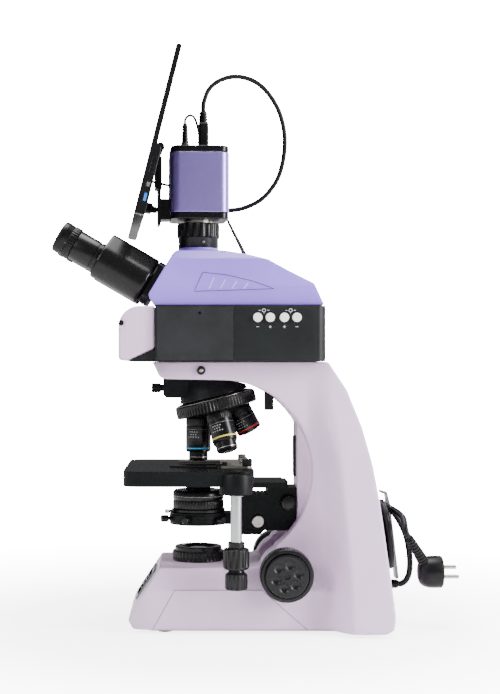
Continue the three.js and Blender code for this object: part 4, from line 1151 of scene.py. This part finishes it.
def make_camera_stack():
    port = [(0, 439.6), (23.3, 439.6), (23.5, 440), (23.5, 450.6), (23.9, 451.4), (24.6, 452),
            (25, 453, 1.3),
            (25, 466.4, 1.3), (24.6, 467.6), (24, 468.2), (0, 468.2)]
    make("photo_port_ring", lathe(port, 216, 18, 1.5), "black_plastic", stands_for=["photo_port"])
    screw = lathe([(0, 22.5), (1.6, 22.5), (1.6, 25), (1.2, 25.4), (0, 25.4)], 24)
    make("photo_port_screw", moved(screw, shift(0, 0, 445.5) @ turn(90, "X") @ shift(6, 0, 0)), "steel")
    h = CAMERA_HALF
    square = rounded(-h + 0.6, -h + 0.6, h - 0.6, h - 0.6, 10.4, 12)
    make("camera_base", moved(prism(square, CAMERA_LOW, CAMERA_LOW + CAP), CAMERA_FRAME), "black_paint",
         stands_for=["camera_bottom_cap"], bevel=1.0)
    mount = [(0, 468.3), (16.4, 468.3), (17, 468.9), (17, 471.2), (16.4, 471.8), (0, 471.8)]
    make("camera_thread_ring", moved(lathe(mount, 72), CAMERA_FRAME), "steel")
    body = rounded(-h, -h, h, h, 11, 16)
    make("camera_case", moved(prism(body, CAMERA_LOW + CAP + 0.2, CAMERA_TOP - CAP - 0.2), CAMERA_FRAME),
         "anodised_violet", stands_for=["camera_shell"], bevel=0.7)
    make("camera_lid", moved(prism(square, CAMERA_TOP - CAP, CAMERA_TOP), CAMERA_FRAME), "black_paint",
         stands_for=["camera_top_cap"], bevel=1.0)
    for x in (-25.5, 25.5):
        for y in (-25.5, 25.5):
            head = lathe([(0, 556.2), (2.2, 556.2), (2.2, 557), (1.8, 557.4), (1, 557.4), (1, 556.8),
                          (0, 556.8)], 24)
            make(f"lid_screw_{round(x)}_{round(y)}", moved(head, CAMERA_FRAME @ shift(x, y, 0)), "steel")

    lead = [(0, 556.8), (4.8, 556.8), (4.8, 562), (4.3, 562.6)]
    for i in range(6):
        lead += [(4.2 - 0.18 * i, 563.4 + 3.6 * i), (4.1 - 0.18 * i, 565.6 + 3.6 * i),
                 (3.2 - 0.1 * i, 566 + 3.6 * i),
                 (3.2 - 0.1 * i, 566.6 + 3.6 * i)]
    lead += [(2.4, 586), (0, 586)]
    make("camera_power_plug", moved(lathe(lead, 40), CAMERA_FRAME @ shift(-16, -4, 0)), "black_rubber",
         stands_for=["camera_lead_plug"])
    video = CAMERA_FRAME @ shift(6.4, 8, 0)
    make("video_plug_body", moved(prism(rounded(-5.7, -10, 5.7, 10, 2.5), 560, 588), video), "black_rubber",
         stands_for=["camera_video_plug"], bevel=1.4, segments=4)
    make("video_plug_shell", moved(prism(rounded(-4, -7.5, 4, 7.5, 1), 556.8, 561), video), "steel",
         bevel=0.3)
    boot = [(0, 587), (5.4, 587)]
    for i in range(4):
        boot += [(5.4 - 0.2 * i, 588.6 + 3.4 * i), (5.4 - 0.2 * i, 590.4 + 3.4 * i),
                 (4.3 - 0.1 * i, 590.9 + 3.4 * i),
                 (4.3 - 0.1 * i, 591.6 + 3.4 * i)]
    boot += [(3.8, 602.6), (3.2, 603), (0, 603)]
    make("video_plug_boot", moved(lathe(boot, 40), video), "black_rubber")
    for x in (-5.9, 5.9):
        for i in range(5):
            make(f"video_plug_grip_{round(x)}_{i + 1}",
                 moved(box(x - 0.3, x + 0.3, -6, 6, 566 + 3.2 * i, 567.4 + 3.2 * i), video),
                 "black_rubber", bevel=0.2)
    keep_cad("monitor_bracket", "black_paint", 0.5)
    make("bracket_spine", moved(box(-51.2, -43.6, -13, 13, 508, 546), CAMERA_FRAME), "black_paint",
         bevel=0.8)
    clamp = moved(lathe([(0, 16.3), (5, 16.3), (5.4, 17, 0.5), (5.4, 21.6, 0.5), (4.8, 22.2), (0, 22.2)],
                        96, 14),
                  CAMERA_FRAME @ shift(-46, 0, 556) @ turn(90, "X"))
    make("hinge_clamp_knob", clamp, "black_plastic")


def make_monitor():
    half = MONITOR_W / 2
    case = [(0, 1.6), (0.6, 0.4), (2, 0), (9.5, 0), (11, 0.6), (11.5, 2), (11.5, 72), (10.6, 74.6),
            (8.4, 76.2),
            (6.4, 77), (6, 78.6), (6, 185.6), (5, 187), (1.4, 187), (0, 185.6)]
    pivot = MONITOR_FRAME.inverted() @ CAMERA_FRAME @ Vector((-46, 0, 556))
    lug = box(5, pivot.x + 2, -6.3, 6.3, pivot.z - 4.2, pivot.z + 4.2)
    eye = moved(rod(4.2, -6.3, 6.3, 40), shift(pivot.x, 0, pivot.z) @ ALONG_Y)
    recess = box(-1, 1.2, -half + 4, half - 4, 6, MONITOR_H - 4)
    ports = [box(5.2, 9.6, -half - 1, -half + 4, low, high) for low, high in ((14, 24), (30, 36), (46, 62))]
    carve("monitor_shell", moved(prism_xz(case, -half, half), MONITOR_FRAME),
          [moved(s, MONITOR_FRAME) for s in [recess] + ports], [], "black_plastic", "monitor",
          ["monitor_case"], 0.5)
    make("monitor_lug", moved(merged(lug, eye), MONITOR_FRAME), "black_plastic", "monitor", bevel=0.4)
    make("monitor_glass", moved(prism_yz(rounded(-half + 4.3, 6.3, half - 4.3, MONITOR_H - 4.3, 1.5), 0.3,
                                         1.4),
                                MONITOR_FRAME), "screen_black", "monitor", stands_for=["monitor_screen"])
    for name, low, high, colour in (("usb_port", 14.6, 23.4, "port_blue"),
                                    ("signal_port", 30.6, 35.4, "steel"),
                                    ("card_slot", 46.6, 61.4, "black_paint")):
        make(name, moved(box(5.8, 9.0, -half + 0.4, -half + 3, low, high), MONITOR_FRAME), colour,
             "monitor",
             bevel=0.2)
    make("monitor_foot_trim", moved(box(1.6, 10.4, -half + 1, -half + 12, -0.25, 0.6), MONITOR_FRAME),
         "steel",
         "monitor", bevel=0.2)
    plug = MONITOR_FRAME @ shift(0, 40, 31) @ ALONG_X
    make("monitor_plug_body", moved(prism(rounded(-6, -10, 6, 10, 2.5), 11.8, 19.5), plug), "black_rubber",
         "monitor",
         stands_for=["monitor_video_plug"], bevel=0.9)
    boot = [(0, 19), (4.9, 19), (4.7, 21), (3.9, 21.4), (3.9, 22), (4.5, 22.4), (4.3, 24.2), (3.7, 24.6),
            (3.6, 26.5),
            (0, 26.5)]
    make("monitor_plug_boot", moved(lathe(boot, 40), plug), "black_rubber", "monitor")
    for i in range(9):
        slot = box(5.6, 6.12, -70 + 16 * i, -60 + 16 * i, 150, 151.4)
        make(f"monitor_vent_{i + 1}", moved(slot, MONITOR_FRAME), "bezel_grey", "monitor")


def make_mains_plug():
    place = shift(282, -30, 63) @ turn(27, "X")
    body = [(0, -28), (9, -27.8), (13.4, -26), (16.6, -22), (18.2, -17), (18.6, -13), (18.6, -2.4),
            (18.1, -0.8),
            (17, 0), (0, 0)]
    shell = moved(lathe(body, 72), place @ ALONG_X)
    plug = make("mains_plug_body", shell, "black_rubber", stands_for=["mains_plug"])
    boot = []
    for i in range(11):
        r = 6.8 - 0.2 * i
        boot += [(r, 4 * i), (r, 4 * i + 2.6), (r - 1.1, 4 * i + 3), (r - 1.1, 4 * i + 3.6)]
    boot = [(0, 0)] + boot + [(4.4, 44.6), (4.4, 45.4), (3.8, 46), (0, 46)]
    make("mains_plug_boot", moved(lathe(boot, 40), place @ shift(-19, 0, 8) @ turn(-30, "Y")),
         "black_rubber")
    neck = box(-25.5, -7, -7.4, 7.4, -4, 13)
    make("mains_plug_neck", moved(neck, place), "black_rubber", bevel=3.4, segments=5)
    for y, word in ((9.5, "far"), (-9.5, "near")):
        pin = lathe([(0, -1), (2.4, -1), (2.4, 17), (1.7, 18), (0, 18)], 32)
        make("plug_pin_" + word, moved(pin, place @ shift(0, y, 0) @ ALONG_X), "steel")
    return plug


make_casting()
make_base_details()
make_focus_knobs()
make_rear()
make_nosepiece()
make_objectives()
make_stage()
make_bracket_and_condenser()
make_illuminator()
make_head()
make_prism_arm(-1, -83.7, -58, "right")
make_prism_arm(1, -110, -84.3, "left")
make_camera_stack()
make_monitor()
MAINS_PLUG = make_mains_plug()
make_cords()
